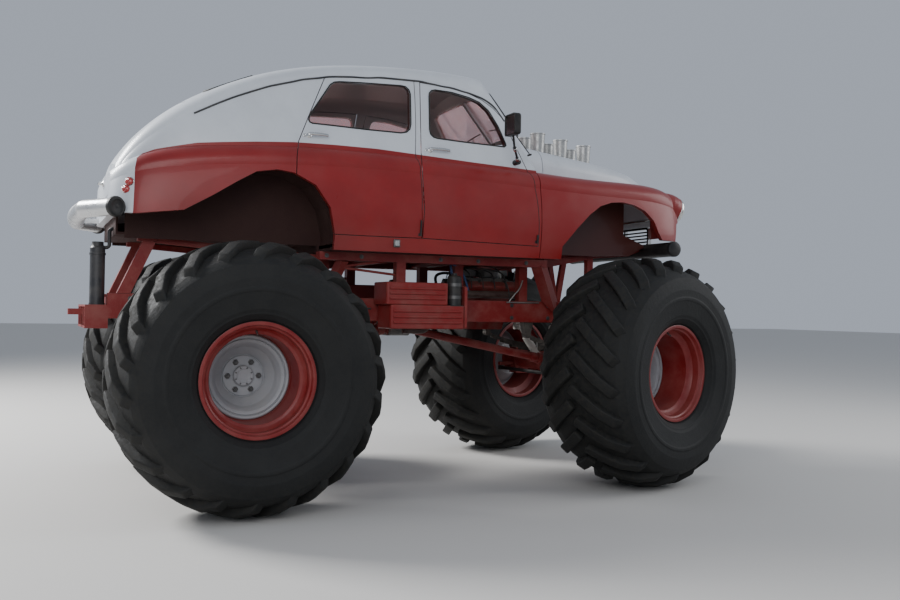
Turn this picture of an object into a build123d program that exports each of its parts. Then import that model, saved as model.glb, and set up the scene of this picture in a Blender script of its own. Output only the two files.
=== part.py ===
from build123d import *
from math import atan2, cos, degrees, hypot, radians, sin
import os

os.makedirs("parts", exist_ok=True)

# Layout in millimetres, drawn about the middle of the wheelbase: +X forward, +Y left, +Z up.
front_axle_x = 1373
rear_axle_x = -1472
hub_z = 838
shift_x = 86.0

# Wheels
tyre_radius = 838
tyre_half_width = 390
wheel_y = 1040
kingpin_y = 780
steer_at_rest = 18
bead_radius = 352
spindle_radius = 40
spindle_end = 900
steering_arm = 200
tie_rod_z = 798

# Ladder frame
rail_y = 345
rail_width = 80
rail_bottom = 1180
rail_top = 1345
bracket_top = 1268
frame_rear = -2240
frame_front = 1720

# Body
sill_z = 1655
wall = 42
panel_gap = 6
door_taper = 22
door_plane_y = 900
bonnet_rear = 832
lamp_x = 1995
lamp_y = 560
lamp_z = 2129
lamp_tilt = 18
wing_rear = 700
screen_rake = 0.84


def box(x0, x1, y0, y1, z0, z1):
    return Pos((x0 + x1) / 2, (y0 + y1) / 2, (z0 + z1) / 2) * Box(x1 - x0, y1 - y0, z1 - z0)


def rod(start, end, radius):
    start, end = Vector(*start), Vector(*end)
    axis = end - start
    return Solid.make_cylinder(radius, axis.length, Plane(origin=start, z_dir=axis.normalized()))


def beam(start, end, width, height):
    """Rectangular bar between two points; the width lies level, across the bar."""
    start, end = Vector(*start), Vector(*end)
    axis = end - start
    plane = Plane(origin=start, x_dir=axis.cross(Vector(0, 0, 1)).normalized(), z_dir=axis.normalized())
    return extrude(plane * Rectangle(width, height), axis.length)


def pipe(points, bend, radius):
    """Round pipe along straight runs with arcs at the corners."""
    path = FilletPolyline(*points, radius=bend)
    start = Vector(*points[0])
    return sweep(Plane(origin=start, z_dir=(Vector(*points[1]) - start).normalized()) * Circle(radius), path)


def turned(points, place=Pos(0, 0, 0)):
    """Solid of revolution from radius and height pairs, standing along Z."""
    return place * revolve(make_face(Plane.XZ * Polyline(*points, close=True)), Axis.Z)


def mirrored(shapes):
    return shapes + [mirror(shape, about=Plane.XZ) for shape in shapes]


def largest(shape):
    return sorted(shape.solids(), key=lambda s: s.volume)[-1]


def bothSides(shape):
    return [shape, mirror(shape, about=Plane.XZ)]


def fuse(pieces):
    first, *others = pieces
    return first.fuse(*others).clean() if others else first


def save(name, shape):
    shapes = shape if isinstance(shape, (list, tuple)) else [shape]
    moved = [Pos(shift_x, 0, 0) * solid for one in shapes for solid in one.solids()]
    export_step(Compound(moved), f"parts/{name}.step")
    print(name, len(moved))


def sideOutline(points, y):
    """Closed outline given as x, z pairs on an upright plane along X."""
    return make_face(Plane(origin=(0, y, 0), x_dir=(1, 0, 0), z_dir=(0, -1, 0)) * Polyline(*points, close=True))


# Lower body. Columns: x, half width low, middle and high, z where the side ends,
# inset of the shoulder arc, z of its inner end, z of the crown.
pontoon_bottom = 1600
pontoon_middle = 1950
pontoon_sections = (
    (-2250, 560, 600, 570, 2040, 80, 2110, 2130),
    (-2170, 650, 695, 660, 2080, 90, 2170, 2195),
    (-1900, 725, 775, 740, 2140, 110, 2270, 2300),
    (-1100, 790, 845, 815, 2200, 110, 2345, 2370),
    (-200, 800, 852, 822, 2200, 110, 2340, 2370),
    (700, 790, 838, 808, 2165, 110, 2300, 2335),
    (1400, 750, 795, 762, 2148, 120, 2283, 2312),
    (1900, 690, 735, 702, 2122, 115, 2260, 2287),
    (2050, 612, 662, 645, 2084, 100, 2210, 2231),
)


def pontoon(inset):
    wires = []
    for x, low, middle, high, zHigh, corner, zEdge, crown in pontoon_sections:
        low, middle, high, crown, zEdge = low - inset, middle - inset, high - inset, crown - inset, zEdge - inset
        bottom = pontoon_bottom - max(inset, 0)
        inner = high - corner
        right = [Line((x, -low, bottom), (x, low, bottom)),
                 ThreePointArc((x, low, bottom), (x, middle, pontoon_middle), (x, high, zHigh)),
                 ThreePointArc((x, high, zHigh), (x, high - 0.29 * corner, zHigh + 0.72 * (zEdge - zHigh)),
                               (x, inner, zEdge)),
                 ThreePointArc((x, inner, zEdge), (x, 0, crown), (x, -inner, zEdge)),
                 ThreePointArc((x, -inner, zEdge), (x, -high + 0.29 * corner, zHigh + 0.72 * (zEdge - zHigh)),
                               (x, -high, zHigh)),
                 ThreePointArc((x, -high, zHigh), (x, -middle, pontoon_middle), (x, -low, bottom))]
        wires.append(Wire(right))
    return Solid.make_loft(wires)


# Cabin. Columns: x, half width at the belt, z of the belt, half width at the roof rail, z of the
# rail, inset of the rail arc, z of its inner end, z of the crown.
cabin_bottom = 1980
cabin_sections = (
    (-2215, 520, 2050, 500, 2110, 120, 2175, 2215),
    (-2050, 600, 2200, 555, 2320, 150, 2400, 2440),
    (-1750, 680, 2280, 592, 2530, 160, 2630, 2685),
    (-1300, 745, 2300, 612, 2735, 160, 2840, 2895),
    (-700, 775, 2310, 622, 2850, 160, 2968, 3030),
    (-100, 780, 2300, 622, 2885, 160, 3003, 3060),
    (450, 765, 2290, 612, 2850, 160, 2970, 3020),
    (900, 740, 2280, 590, 2780, 160, 2880, 2930),
)
# Plan outline of the windscreen at z 2600: centre, edge of the flat, rounded corner, side.
screen_z = 2600
screen_outline = ((740, 0), (694, 400), (632, 545), (545, 622), (330, 880))


def windscreenLimit(inset):
    """Everything behind the raked windscreen, whose two flat halves meet in a shallow vee."""
    base = 1900
    run = (screen_z - base) * screen_rake - inset
    (cx, cy), (ex, ey), (mx, my), (sx, sy), (rx, ry) = screen_outline
    edges = [Line((cx, cy), (ex, ey)), ThreePointArc((ex, ey), (mx, my), (sx, sy)),
             Line((sx, sy), (rx, ry)), Line((rx, ry), (-3200, ry))]
    edges += [Line((-3200, ry), (-3200, -ry)), Line((-3200, -ry), (rx, -ry)), Line((rx, -ry), (sx, -sy)),
              ThreePointArc((sx, -sy), (mx, -my), (ex, -ey)), Line((ex, -ey), (cx, cy))]
    face = Pos(run, 0, base) * Face(Wire(edges))
    rise = 1300
    return extrude(face, rise * hypot(1, screen_rake), dir=(-screen_rake, 0, 1))


def cabin(inset):
    wires = []
    for x, belt, zBelt, rail, zRail, corner, zEdge, crown in cabin_sections:
        belt, rail, zEdge, crown = belt - inset, rail - inset, zEdge - inset, crown - inset
        inner = rail - corner
        xNow = x + (inset if x < -2200 else 0)
        half = [((belt, cabin_bottom), None, (belt, zBelt)),
                ((belt, zBelt), ((belt + rail) / 2 + 10, (zBelt + zRail) / 2), (rail, zRail)),
                ((rail, zRail), (rail - 0.29 * corner, zRail + 0.72 * (zEdge - zRail)), (inner, zEdge))]
        edges = [Line((xNow, -belt, cabin_bottom), (xNow, belt, cabin_bottom))]
        for start, middle, end in half:
            points = [(xNow, *p) for p in (start, middle, end) if p]
            edges.append(Line(*points) if len(points) == 2 else ThreePointArc(*points))
        edges.append(ThreePointArc((xNow, inner, zEdge), (xNow, 0, crown), (xNow, -inner, zEdge)))
        for end, middle, start in reversed(half):
            points = [(xNow, -p[0], p[1]) for p in (start, middle, end) if p]
            edges.append(Line(*points) if len(points) == 2 else ThreePointArc(*points))
        wires.append(Wire(edges))
    return Solid.make_loft(wires) & windscreenLimit(inset)


# Bonnet and cowl. Columns: x, half width at the foot, half width and z of the shoulder,
# inset of the shoulder arc, z of its inner end, z of the crown.
bonnet_bottom = 1960
bonnet_sections = (
    (430, 690, 640, 2400, 170, 2540, 2590),
    (850, 655, 600, 2372, 170, 2502, 2552),
    (1300, 600, 545, 2345, 165, 2458, 2513),
    (1700, 510, 460, 2312, 150, 2408, 2466),
    (1960, 410, 350, 2232, 130, 2318, 2372),
    (2080, 320, 260, 2118, 110, 2214, 2268),
)


def bonnetForm(inset):
    wires = []
    for x, foot, shoulder, zShoulder, corner, zEdge, crown in bonnet_sections:
        foot, shoulder, zEdge, crown = foot - inset, shoulder - inset, zEdge - inset, crown - inset
        xNow = x - (inset if x > 2000 else 0)
        inner = shoulder - corner
        up = zShoulder + 0.72 * (zEdge - zShoulder)
        edges = [Line((xNow, -foot, bonnet_bottom), (xNow, foot, bonnet_bottom)),
                 Line((xNow, foot, bonnet_bottom), (xNow, shoulder, zShoulder)),
                 ThreePointArc((xNow, shoulder, zShoulder), (xNow, shoulder - 0.29 * corner, up),
                               (xNow, inner, zEdge)),
                 ThreePointArc((xNow, inner, zEdge), (xNow, 0, crown), (xNow, -inner, zEdge)),
                 ThreePointArc((xNow, -inner, zEdge), (xNow, -shoulder + 0.29 * corner, up),
                               (xNow, -shoulder, zShoulder)),
                 Line((xNow, -shoulder, zShoulder), (xNow, -foot, bonnet_bottom))]
        wires.append(Wire(edges))
    return Solid.make_loft(wires)


# Door outlines as x, z pairs on the plane outside the skin. The cut narrows inwards.
front_door = ((-265, 1735), (703, 1713), (680, 2284), (643, 2379), (587, 2532), (541, 2710), (443, 2826),
              (331, 2900), (200, 2950), (37, 2975), (-306, 2998), (-283, 2350), (-252, 1950))
rear_door = ((-225, 1735), (-238, 1950), (-227, 2350), (-104, 2998), (-500, 2987), (-860, 2955), (-975, 2934),
             (-1158, 2372), (-1156, 2150), (-1146, 1735))
front_window = ((-95, 2476), (430, 2463), (446, 2474), (444, 2488), (396, 2612), (331, 2723), (263, 2778),
                (184, 2804), (50, 2828), (-75, 2833), (-104, 2825), (-123, 2804), (-129, 2774), (-150, 2535),
                (-144, 2500), (-124, 2482))
rear_window = ((-992, 2500), (-380, 2490), (-338, 2499), (-312, 2522), (-301, 2556), (-282, 2782), (-290, 2814),
               (-312, 2832), (-345, 2836), (-785, 2813), (-822, 2806), (-850, 2786), (-993, 2578), (-1012, 2544),
               (-1016, 2520), (-1009, 2506))
front_door_hinge = (678, 852)
rear_door_hinge = (-250, 866)


def doorCut(points, grow):
    outline = sideOutline(points, -door_plane_y)
    if grow:
        outline = offset(outline, amount=grow, kind=Kind.INTERSECTION)
    return extrude(outline, 420, dir=(0, 1, 0), taper=door_taper)


def windowCut(points, grow=0):
    outline = sideOutline(points, -door_plane_y)
    if grow:
        outline = offset(outline, amount=grow, kind=Kind.INTERSECTION)
    return extrude(outline, 500, dir=(0, 1, 0))


# Wheel arch outlines, x and z
rear_arch = ((-2105, 1836), (-1830, 1868), (-1657, 1969), (-1500, 2070), (-1380, 2140), (-1250, 2160),
             (-1140, 2145), (-1000, 2070), (-905, 1930), (-868, 1755), (-868, 1580), (-2320, 1580), (-2320, 1850))
front_arch = ((885, 1580), (885, 1749), (1010, 1890), (1125, 1998), (1230, 2070), (1340, 2105), (1450, 2115),
              (1560, 2100), (1660, 2060), (1740, 1990), (1785, 1905), (1830, 1841), (2200, 1842), (2200, 1580))


def archCut(points):
    outline = sideOutline(points, -1000)
    return extrude(outline, 2000, dir=(0, 1, 0))


print("skins")
pontoonOuter = pontoon(0)
pontoonInner = pontoon(wall)
cabinOuter = cabin(0)
cabinInner = cabin(wall)
bonnetOuter = bonnetForm(0)
bonnetInner = bonnetForm(22)

bodyBlock = pontoonOuter + cabinOuter
cowlBlock = bonnetOuter & box(300, bonnet_rear - panel_gap, -900, 900, 1900, 2700)
cowlBlock -= pontoon(-0.5) & box(wing_rear - panel_gap, 1000, -1000, 1000, 1500, 2600)
rearBlock = (bodyBlock & box(-2400, wing_rear - panel_gap, -1000, 1000, 1500, 3200)) + cowlBlock
hollow = (pontoonInner & box(-2205, 2600, -900, 900, 1400, 3200)) + (cabinInner & box(-2205, 1000, -900, 900, 2100, 3200))
hollow += bonnetForm(wall) & box(300, 900, -900, 900, 1900, 2700)
shell = rearBlock - hollow
shell -= archCut(rear_arch)
shell -= box(-2400, 2400, -1000, 1000, 1500, sill_z)

doorCuts = {"front": doorCut(front_door, 0), "rear": doorCut(rear_door, 0)}
windowCuts = {"front": windowCut(front_window), "rear": windowCut(rear_window)}
wallOnly = shell
print("doors")
for name in ("front", "rear"):
    door = (wallOnly & doorCuts[name]) - windowCuts[name]
    solids = sorted(door.solids(), key=lambda s: s.volume)
    door = solids[-1]
    save(f"door_{name}_right", door)
    save(f"door_{name}_left", mirror(door, about=Plane.XZ))
for points in (front_door, rear_door):
    opening = doorCut(points, panel_gap)
    shell = shell - opening - mirror(opening, about=Plane.XZ)

print("boot")
lid_hinge = (-1800, 2640)
lid_low = (-2262, 1985)
lid_half = 440


def lidBlock(grow):
    (hx, hz), (lx, lz) = lid_hinge, lid_low
    length = hypot(lx - hx, lz - hz) + 2 * grow
    slope = Vector(lx - hx, 0, lz - hz).normalized()
    plane = Plane(origin=((hx + lx) / 2 + 70, 0, (hz + lz) / 2 - 50), x_dir=slope, z_dir=slope.cross(Vector(0, 1, 0)))
    return extrude(plane * RectangleRounded(length, 2 * lid_half + 2 * grow, 90), 400, both=True)


lidWall = shell & lidBlock(0)
lid = sorted(lidWall.solids(), key=lambda s: s.volume)[-1]
save("boot_lid", lid)
shell -= lidBlock(panel_gap)

print("windows")
rearScreen = Plane(origin=(-1480, 0, 2790), x_dir=Vector(-450, 0, -210).normalized(),
                   z_dir=Vector(-210, 0, 450).normalized())
rearScreenCut = extrude(rearScreen * RectangleRounded(330, 800, 90), 160, both=True)
shell -= rearScreenCut
screenHalf = make_face(Plane(origin=(200, 0, 0), x_dir=(0, 1, 0), z_dir=(1, 0, 0)) *
                       Polyline((18, 2612), (540, 2600), (560, 2640), (490, 2880), (440, 2905), (18, 2922), close=True))
screenCut = extrude(screenHalf, 700, dir=(1, 0, 0))
shell = shell - screenCut - mirror(screenCut, about=Plane.XZ)
shell = sorted(shell.solids(), key=lambda s: s.volume)[-1]
save("body_shell", shell)

glassWall = cabin(16) - cabin(22)
panes = [glassWall & screenCut, glassWall & mirror(screenCut, about=Plane.XZ), glassWall & rearScreenCut]
panes = [sorted(pane.solids(), key=lambda s: s.volume)[-1] for pane in panes]
save("window_glass", panes)
for name in ("front", "rear"):
    cut = mirror(windowCuts[name], about=Plane.XZ)
    pane = sorted((glassWall & cut).solids(), key=lambda s: s.volume)[-1]
    save(f"door_glass_{name}_left", pane)

print("front end")
# The wing's inner edge runs under the bonnet, and carries an upright apron down to the frame horn
apron_y = 438
apron_outline = ((694, 1712), (1400, 1712), (1725, 1729), (1872, 1800), (1872, 1817), (1675, 1890), (1675, 2400),
                 (694, 2400))
lamp_hole_radius = 104.4
nose_outline = ((2050, 1994), (2026, 1982), (2017, 1924), (2005, 1847), (1992, 1600), (2300, 1600), (2300, 1994))
# Nacelle round the headlamp, as radius and distance along the lamp's axis
nacelle = ((0, -70), (88, -70), (108, -30), (115, 10), (115.5, 45), (111, 88), (0, 88))
lampPlace = Pos(lamp_x, -lamp_y, lamp_z) * Rot(0, 90 + lamp_tilt, 0)
wing = pontoonOuter & box(wing_rear, 2400, -1000, 0, 1500, 3200)
wing -= pontoonInner & box(600, 2010, -1000, 100, 1400, 3200)
engine_bay = ((600, -apron_y), (1680, -apron_y), (1960, -345), (2400, -330), (2400, 200), (600, 200))
wing -= extrude(Pos(0, 0, 1500) * make_face(Polyline(*engine_bay, close=True)), 1200)
wing -= archCut(front_arch)
wing -= box(600, 2400, -1000, 10, 1500, sill_z)
wing -= extrude(sideOutline(nose_outline, -1000), 1000, dir=(0, 1, 0))
wing = largest(wing).fuse(turned(nacelle, lampPlace))
wing -= lampPlace * Pos(0, 0, 96) * Cylinder(lamp_hole_radius, 204)
wing -= lampPlace * Pos(0, 0, -40) * Cylinder(80, 90)
apron = extrude(sideOutline(apron_outline, -apron_y - 12), 12, dir=(0, 1, 0))
apron &= pontoon(4) & box(wing_rear, 1900, -1000, 0, 1500, 3200)
wing = fuse([largest(wing), largest(apron)])
save("front_wings", bothSides(largest(wing)))

bonnetShell = bonnetOuter - bonnetInner
bonnetShell &= box(bonnet_rear, 2200, -900, 900, 1990, 2800)
bonnetShell -= pontoon(-panel_gap)
save("bonnet", largest(bonnetShell))

# Intake stacks in two rows of three on the bonnet. Columns: x and z of the mouth.
stack_columns = ((1060, 2712), (1273, 2676), (1495, 2646))
stack_row_y = 112
stack_body = ((28, -260), (44, -260), (44, -178), (51, -172), (52, -150), (60, -12), (64, -6), (64, 0), (59, 0),
              (54, -12), (46, -150), (40, -166), (28, -172))
stacks = [turned(stack_body, Pos(x, y, top)) for x, top in stack_columns for y in (-stack_row_y, stack_row_y)]
save("intake_stacks", [largest(stack - bonnetForm(-0.5)) for stack in stacks])

# Grille: rounded frame with level bars and a centre post between the wings
grille_front = Plane(origin=(1994, 0, 1901), x_dir=(0, 1, 0), z_dir=(1, 0, 0))
grilleFrame = extrude(grille_front * (RectangleRounded(684.6, 162, 30) - RectangleRounded(648, 126, 18)), 32)
bars = [extrude(Plane(origin=(2010, 0, z), x_dir=(1, 0, 0), z_dir=(0, 1, 0)) * SlotOverall(28, 13), 326, both=True)
        for z in (1861, 1888, 1915, 1942)]
save("grille_panel", fuse([grilleFrame, box(1998, 2022, -11, 11, 1830, 1972)] + bars))

# Headlamps: rimmed bowl with a domed lens, leaning forward with the nose, tied by a bar across it
lamp_outline = ((0, 0), (92, 0), (99, 22), (104, 88), (104, 104), (97, 110), (90, 106), (70, 120), (38, 130), (0, 133))
lampBack = ((0, -140), (24, -140), (34, -45), (44, -8), (92, 0), (0, 0))
headlamp = turned(lamp_outline) + turned(lampBack)
headlamps = [Pos(lamp_x, y, lamp_z) * Rot(0, 90 + lamp_tilt, 0) * headlamp for y in (-lamp_y, lamp_y)]
tieBar = pipe(((1880, -lamp_y, 2029), (1932, -400, 2029), (1932, 400, 2029), (1880, lamp_y, 2029)), 60, 12)
hangers = [box(1868, 1892, y - 12, y + 12, 2017, lamp_z + 32) for y in (-lamp_y, lamp_y)]
save("headlamps", fuse(headlamps + [tieBar] + hangers))

# Pairs of small round tail lamps on the rear corners. Columns: x, y, z on the skin.
tail_lamp_places = ((-2146, -688, 2031), (-2163, -682, 1984))
tail_lamp = ((0, -30), (21, -30), (21, 8), (24, 10), (24, 16), (17, 20), (9, 23), (0, 24))
tailLamps = []
for place in tail_lamp_places:
    corner = Plane(origin=place, z_dir=Vector(-0.42, -0.9, 0.08).normalized())
    tailLamps.append(largest(corner.location * turned(tail_lamp) - pontoon(-0.3)))
save("tail_lamps", mirrored(tailLamps))

print("chassis")
rails = [box(frame_rear, frame_front, y - rail_width / 2, y + rail_width / 2, rail_bottom, rail_top)
         for y in (-rail_y, rail_y)]
rails = [fillet(rail.edges().filter_by(Axis.X), 8) for rail in rails]
members = [box(x - w / 2, x + w / 2, -rail_y, rail_y, 1200, 1320) for x, w in ((-2200, 90), (-220, 80), (1670, 100))]
members += [rod((x, -rail_y, 1262), (x, rail_y, 1262), 46) for x in (-1150, -560)]
bracketPlate = box(-2375, -2235, -385, 385, 1116, bracket_top)
bracketPlate -= box(-2400, -2249, -371, 371, 1130, bracket_top - 14)
bracketRibs = [box(-2375, -2240, y - 7, y + 7, 1121, bracket_top - 5) for y in (-290, -110, 110, 290)]
hitch_bore_radius = 16
hitchEye = box(-2460, -2245, -60, 60, 1200, 1240) - Pos(-2420, 0, 1220) * Cylinder(hitch_bore_radius, 60)
towEye = box(1700, 1790, -20, 20, 1210, 1300) - Pos(1755, 0, 1255) * Rot(90, 0, 0) * Cylinder(22, 60)
save("chassis_frame", fuse(rails + members + [bracketPlate, hitchEye, towEye] + bracketRibs))

# Sub-frame that lifts the body off the ladder frame
sub_y = 560
sub_top = sill_z
support = []
for x in (-800, -300, 250, 800):
    support.append(box(x - 35, x + 35, -sub_y, sub_y, 1612, 1652))
for x in (-800, 250, 800):
    for y in (-rail_y, rail_y):
        support.append(box(x - 35, x + 35, y - 35, y + 35, rail_top, 1620))
oneSide = [
    box(-900, 880, -sub_y - 45, -sub_y + 45, 1600, sub_top),
    box(-335, -265, -sub_y - 35, -sub_y + 35, 1460, 1600),
    beam((-1983, -rail_y, 1696), (-2150, -rail_y, rail_top - 20), 80, 76),
    box(-2060, -1940, -rail_y - 40, -rail_y + 40, 1690, 1720),
    beam((-2000, -rail_y, 1702), (-790, -rail_y, 1620), 60, 36),
    beam((826, -sub_y, 1636), (1060, -372, 1300), 84, 96),
    beam((-722, -sub_y - 6, 1606), (-808, -372, 1310), 60, 60),
    beam((1118, -rail_y, rail_top - 20), (1193, -rail_y, 1745), 40, 40),
    beam((1110, -rail_y, rail_top - 20), (1040, -rail_y, 1722), 34, 34),
    box(1388, 1440, -rail_y - 26, -rail_y + 26, rail_top - 10, 1790),
    rod((-736, -sub_y + 10, 1556), (-300, -sub_y, 1622), 9),
    rod((-736, -sub_y + 10, 1552), (-300, -sub_y, 1508), 9),
]
horn_outline = ((790, 1655), (790, 1610), (1010, 1612), (1445, 1700), (1780, 1730), (1925, 1790), (1925, 1826),
                (1700, 1852), (1300, 1790), (1010, 1690))
horn = extrude(sideOutline(horn_outline, -rail_y - 25), 50, dir=(0, 1, 0))
hornPanel = ((1060, 1672), (1440, 1748), (1740, 1770), (1690, 1806), (1330, 1754))
horn -= extrude(sideOutline(hornPanel, -rail_y - 26), 18, dir=(0, 1, 0))
oneSide.append(horn)
crossTube = box(1388, 1440, -rail_y, rail_y, 1765, 1805)
supports = fuse(support + mirrored(oneSide) + [crossTube])
for y in (-rail_y, rail_y):
    supports -= box(frame_rear - 200, frame_front + 50, y - 62, y + 62, 1000, rail_top)
supports -= rod((1945, -700, 1775), (1945, 700, 1775), 58.2)
save("body_supports", supports)

# Upright cylinder on the rear bracket, with its pin and the bent pipe that runs forward
cylinder = turned(((0, bracket_top), (50, bracket_top), (50, bracket_top + 12), (47, bracket_top + 12), (47, 1588),
                   (51, 1590), (51, 1604), (47, 1606), (47, 1636), (39, 1648), (36, 1660), (36, 1676), (0, 1676)),
                  Pos(-2299, -300, 0))
bentPipe = pipe(((-2299, -300, 1640), (-2228, -300, 1640), (-2228, -300, 1764), (-2205.2, -300, 1764)), 22, 12)
topPin = rod((-2299, -352, 1620), (-2299, -248, 1620), 9)
save("rear_cylinder", fuse([cylinder, bentPipe, topPin]))

print("engine")
crank_z = 1290
block_section = ((-120, 1200), (120, 1200), (165, 1285), (165, 1330), (72, 1440), (-72, 1440), (-165, 1330),
                 (-165, 1285))
blockFace = make_face(Plane(origin=(330, 0, 0), x_dir=(0, 1, 0), z_dir=(1, 0, 0)) * Polyline(*block_section, close=True))
engine = [extrude(blockFace, 470)]
sump = extrude(Pos(580, 0, 1210) * Rectangle(400, 216), 90, dir=(0, 0, -1), taper=9)
engine.append(sump)
header_xs = (395, 505, 615, 725)
for side in (-1, 1):
    bank = Pos(565, 0, crank_z) * Rot(-45 * side, 0, 0)
    engine.append(bank * Pos(0, 0, 188) * Box(440, 150, 94))
    cover = Box(424, 104, 56)
    engine.append(bank * Pos(0, 0, 258) * fillet(cover.faces().sort_by(Axis.Z)[-1].edges(), 16))
    for x in (-150, -50, 50, 150):
        engine.append(bank * Pos(x, 0, 262) * Box(12, 84, 60))
    engine.append(rod((330, side * 268, 1392), (790, side * 268, 1392), 28))
    for x in header_xs:
        engine.append(rod((x, side * 205, 1388), (x, side * 268, 1392), 19))
    engine.append(pipe(((340, side * 268, 1392), (60, side * 262, 1392), (60, side * 262, 1112), (-150, side * 262, 1112)),
                       70, 26))
    low, high = sorted((side * 120, side * 305))
    engine.append(box(540, 600, low, high, 1252, 1286))
engine.append(extrude(Pos(565, 0, 1430) * Rectangle(380, 190), 66, taper=18))
for x in (478, 668):
    engine.append(turned(((0, 1490), (40, 1490), (40, 1534), (92, 1538), (92, 1580), (98, 1584), (98, 1592), (60, 1597),
                          (0, 1599)), Pos(x, 0, 0)))
engine.append(extrude(Plane(origin=(800, 0, 1318), x_dir=(0, 1, 0), z_dir=(1, 0, 0)) * RectangleRounded(212, 220, 50), 30))
# Pulleys on the engine's front. Columns: y, z, radius.
pulleys = ((0, 1245, 80), (0, 1400, 62), (-168, 1452, 38))
front = Plane(origin=(830, 0, 0), x_dir=(0, 1, 0), z_dir=(1, 0, 0))
for y, z, radius in pulleys:
    engine.append(extrude(front * Pos(y, z) * Circle(radius), 34))
engine.append(rod((742, -168, 1452), (832, -168, 1452), 56))
beltLoop = make_hull([edge for y, z, radius in pulleys for edge in (Pos(y, z) * Circle(radius + 5)).edges()])
beltInside = make_hull([edge for y, z, radius in pulleys for edge in (Pos(y, z) * Circle(radius - 1)).edges()])
engine.append(extrude(Pos(8, 0, 0) * front * (beltLoop - beltInside), 18))
fan = [rod((860, 0, 1400), (892, 0, 1400), 44)]
for k in range(6):
    fan.append(Pos(876, 0, 1400) * Rot(60 * k + 12, 0, 0) * Pos(0, 0, 112) * Rot(0, 0, 24) * Box(5, 62, 150))
engine += fan
bell = Pos(332, 0, crank_z) * Rot(0, -90, 0) * turned(((0, 0), (178, 0), (178, 14), (150, 30), (118, 130), (118, 140), (0, 140)))
engine.append(bell)
gearbox = extrude(Plane(origin=(200, 0, crank_z - 14), x_dir=(0, 1, 0), z_dir=(-1, 0, 0)) * RectangleRounded(186, 196, 34), 230)
engine.append(gearbox)
for x in (40, 100, 160):
    engine.append(extrude(Plane(origin=(x, 0, crank_z - 14), x_dir=(0, 1, 0), z_dir=(-1, 0, 0)) * RectangleRounded(206, 214, 40), 12))
transferFace = Plane(origin=(-22, 65, 1196), x_dir=(0, 1, 0), z_dir=(-1, 0, 0)) * RectangleRounded(330, 262, 70)
engine.append(extrude(transferFace, 158))
save("engine", largest(fuse(engine)))

# Ribbed boxes on the outside of the rails, with an upright canister
box_inner, box_outer = 388, 660


def ribbedBox(x0, x1, z0, z1, rib_levels):
    body = box(x0, x1, -box_outer, -box_inner, z0, z1)
    body = fillet(body.edges().filter_by(Axis.Z), 16)
    body = fillet(body.faces().sort_by(Axis.Y)[0].edges().filter_by(Axis.X), 10)
    ribs = [rod((x0 + 24, -box_outer, z), (x1 - 24, -box_outer, z), 9) for z in rib_levels]
    return [body] + ribs


upperBox = fuse(ribbedBox(-430, 40, 1300, 1460, (1345, 1380, 1415)))
lowerBox = fuse(ribbedBox(-400, 170, 1130, 1299.7, (1175, 1215, 1255))
                + [box(x - 30, x + 30, -box_inner - 4, -rail_y - rail_width / 2, 1200, 1290) for x in (-330, 90)])
canister = turned(((0, 1300), (52, 1300), (52, 1504), (46, 1514), (20, 1518), (20, 1534), (0, 1534)), Pos(112, -600, 0))
endPlate = box(178, 200, -640, -rail_y - rail_width / 2, 1132, 1440)
endPlate = fillet(endPlate.edges().filter_by(Axis.X), 22)
sideBoxes = mirrored([upperBox, lowerBox, canister, endPlate])
save("side_boxes", sideBoxes)

# Leaf springs: stacked arcs that shorten downwards, eyes and hangers at both ends
leaf_rise = 100
leaf_span = 520
leaf_thickness = 13
leaf_radius = (leaf_span ** 2 + leaf_rise ** 2) / (2 * leaf_rise)
leaf_top = 990
leaf_halves = (520, 470, 380, 290, 200)


def leaf(x, y, level, half):
    """One leaf, as the band between two arcs about one centre above the spring."""
    centre = leaf_top + leaf_radius
    upper = leaf_radius + level * leaf_thickness
    lower = upper + leaf_thickness
    drop = lambda r: centre - (r * r - half * half) ** 0.5
    plane = Plane(origin=(x, y - 32, 0), x_dir=(1, 0, 0), z_dir=(0, 1, 0))
    edges = [ThreePointArc((-half, -drop(upper)), (0, -centre + upper), (half, -drop(upper))),
             Line((half, -drop(upper)), (half, -drop(lower))),
             ThreePointArc((half, -drop(lower)), (0, -centre + lower), (-half, -drop(lower))),
             Line((-half, -drop(lower)), (-half, -drop(upper)))]
    return extrude(plane * Face(Wire(edges)), 64)


springs = []
for x in (front_axle_x, rear_axle_x):
    for y in (-rail_y, rail_y):
        pack = [leaf(x, y, level, half) for level, half in enumerate(leaf_halves)]
        for end in (-1, 1):
            eyeX, eyeZ = x + end * leaf_span, leaf_top + leaf_rise - 8
            pack.append(rod((eyeX, y - 32, eyeZ), (eyeX, y + 32, eyeZ), 24))
            pack.append(extrude(Plane(origin=(eyeX, y - 30, 0), x_dir=(1, 0, 0), z_dir=(0, -1, 0)) *
                                make_face(Polyline((-20, eyeZ), (20, eyeZ), (44, rail_bottom), (-44, rail_bottom),
                                                   close=True)), -60))
        pack.append(box(x - 100, x + 100, y - 36, y + 36, leaf_top, leaf_top + 14))
        springs.append(largest(fuse(pack)))
save("leaf_springs", springs)

print("axles")
axle_tube = 75
transfer_rear = (-180, 0, 1130)
transfer_front = (-20, 165, 1130)


def along(start, end, distance):
    start, end = Vector(*start), Vector(*end)
    return tuple(start + (end - start).normalized() * distance)


pumpkin = ((0, -150), (70, -150), (118, -96), (140, -22), (152, -22), (152, 2), (128, 6), (108, 70), (60, 118), (0, 132))
frontHub, rearHub = (front_axle_x, 0, hub_z), (rear_axle_x, 0, hub_z)
frontPinion, rearPinion = along(frontHub, transfer_front, 196), along(rearHub, transfer_rear, 196)
spring_seat = leaf_top - 5 * leaf_thickness

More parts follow.
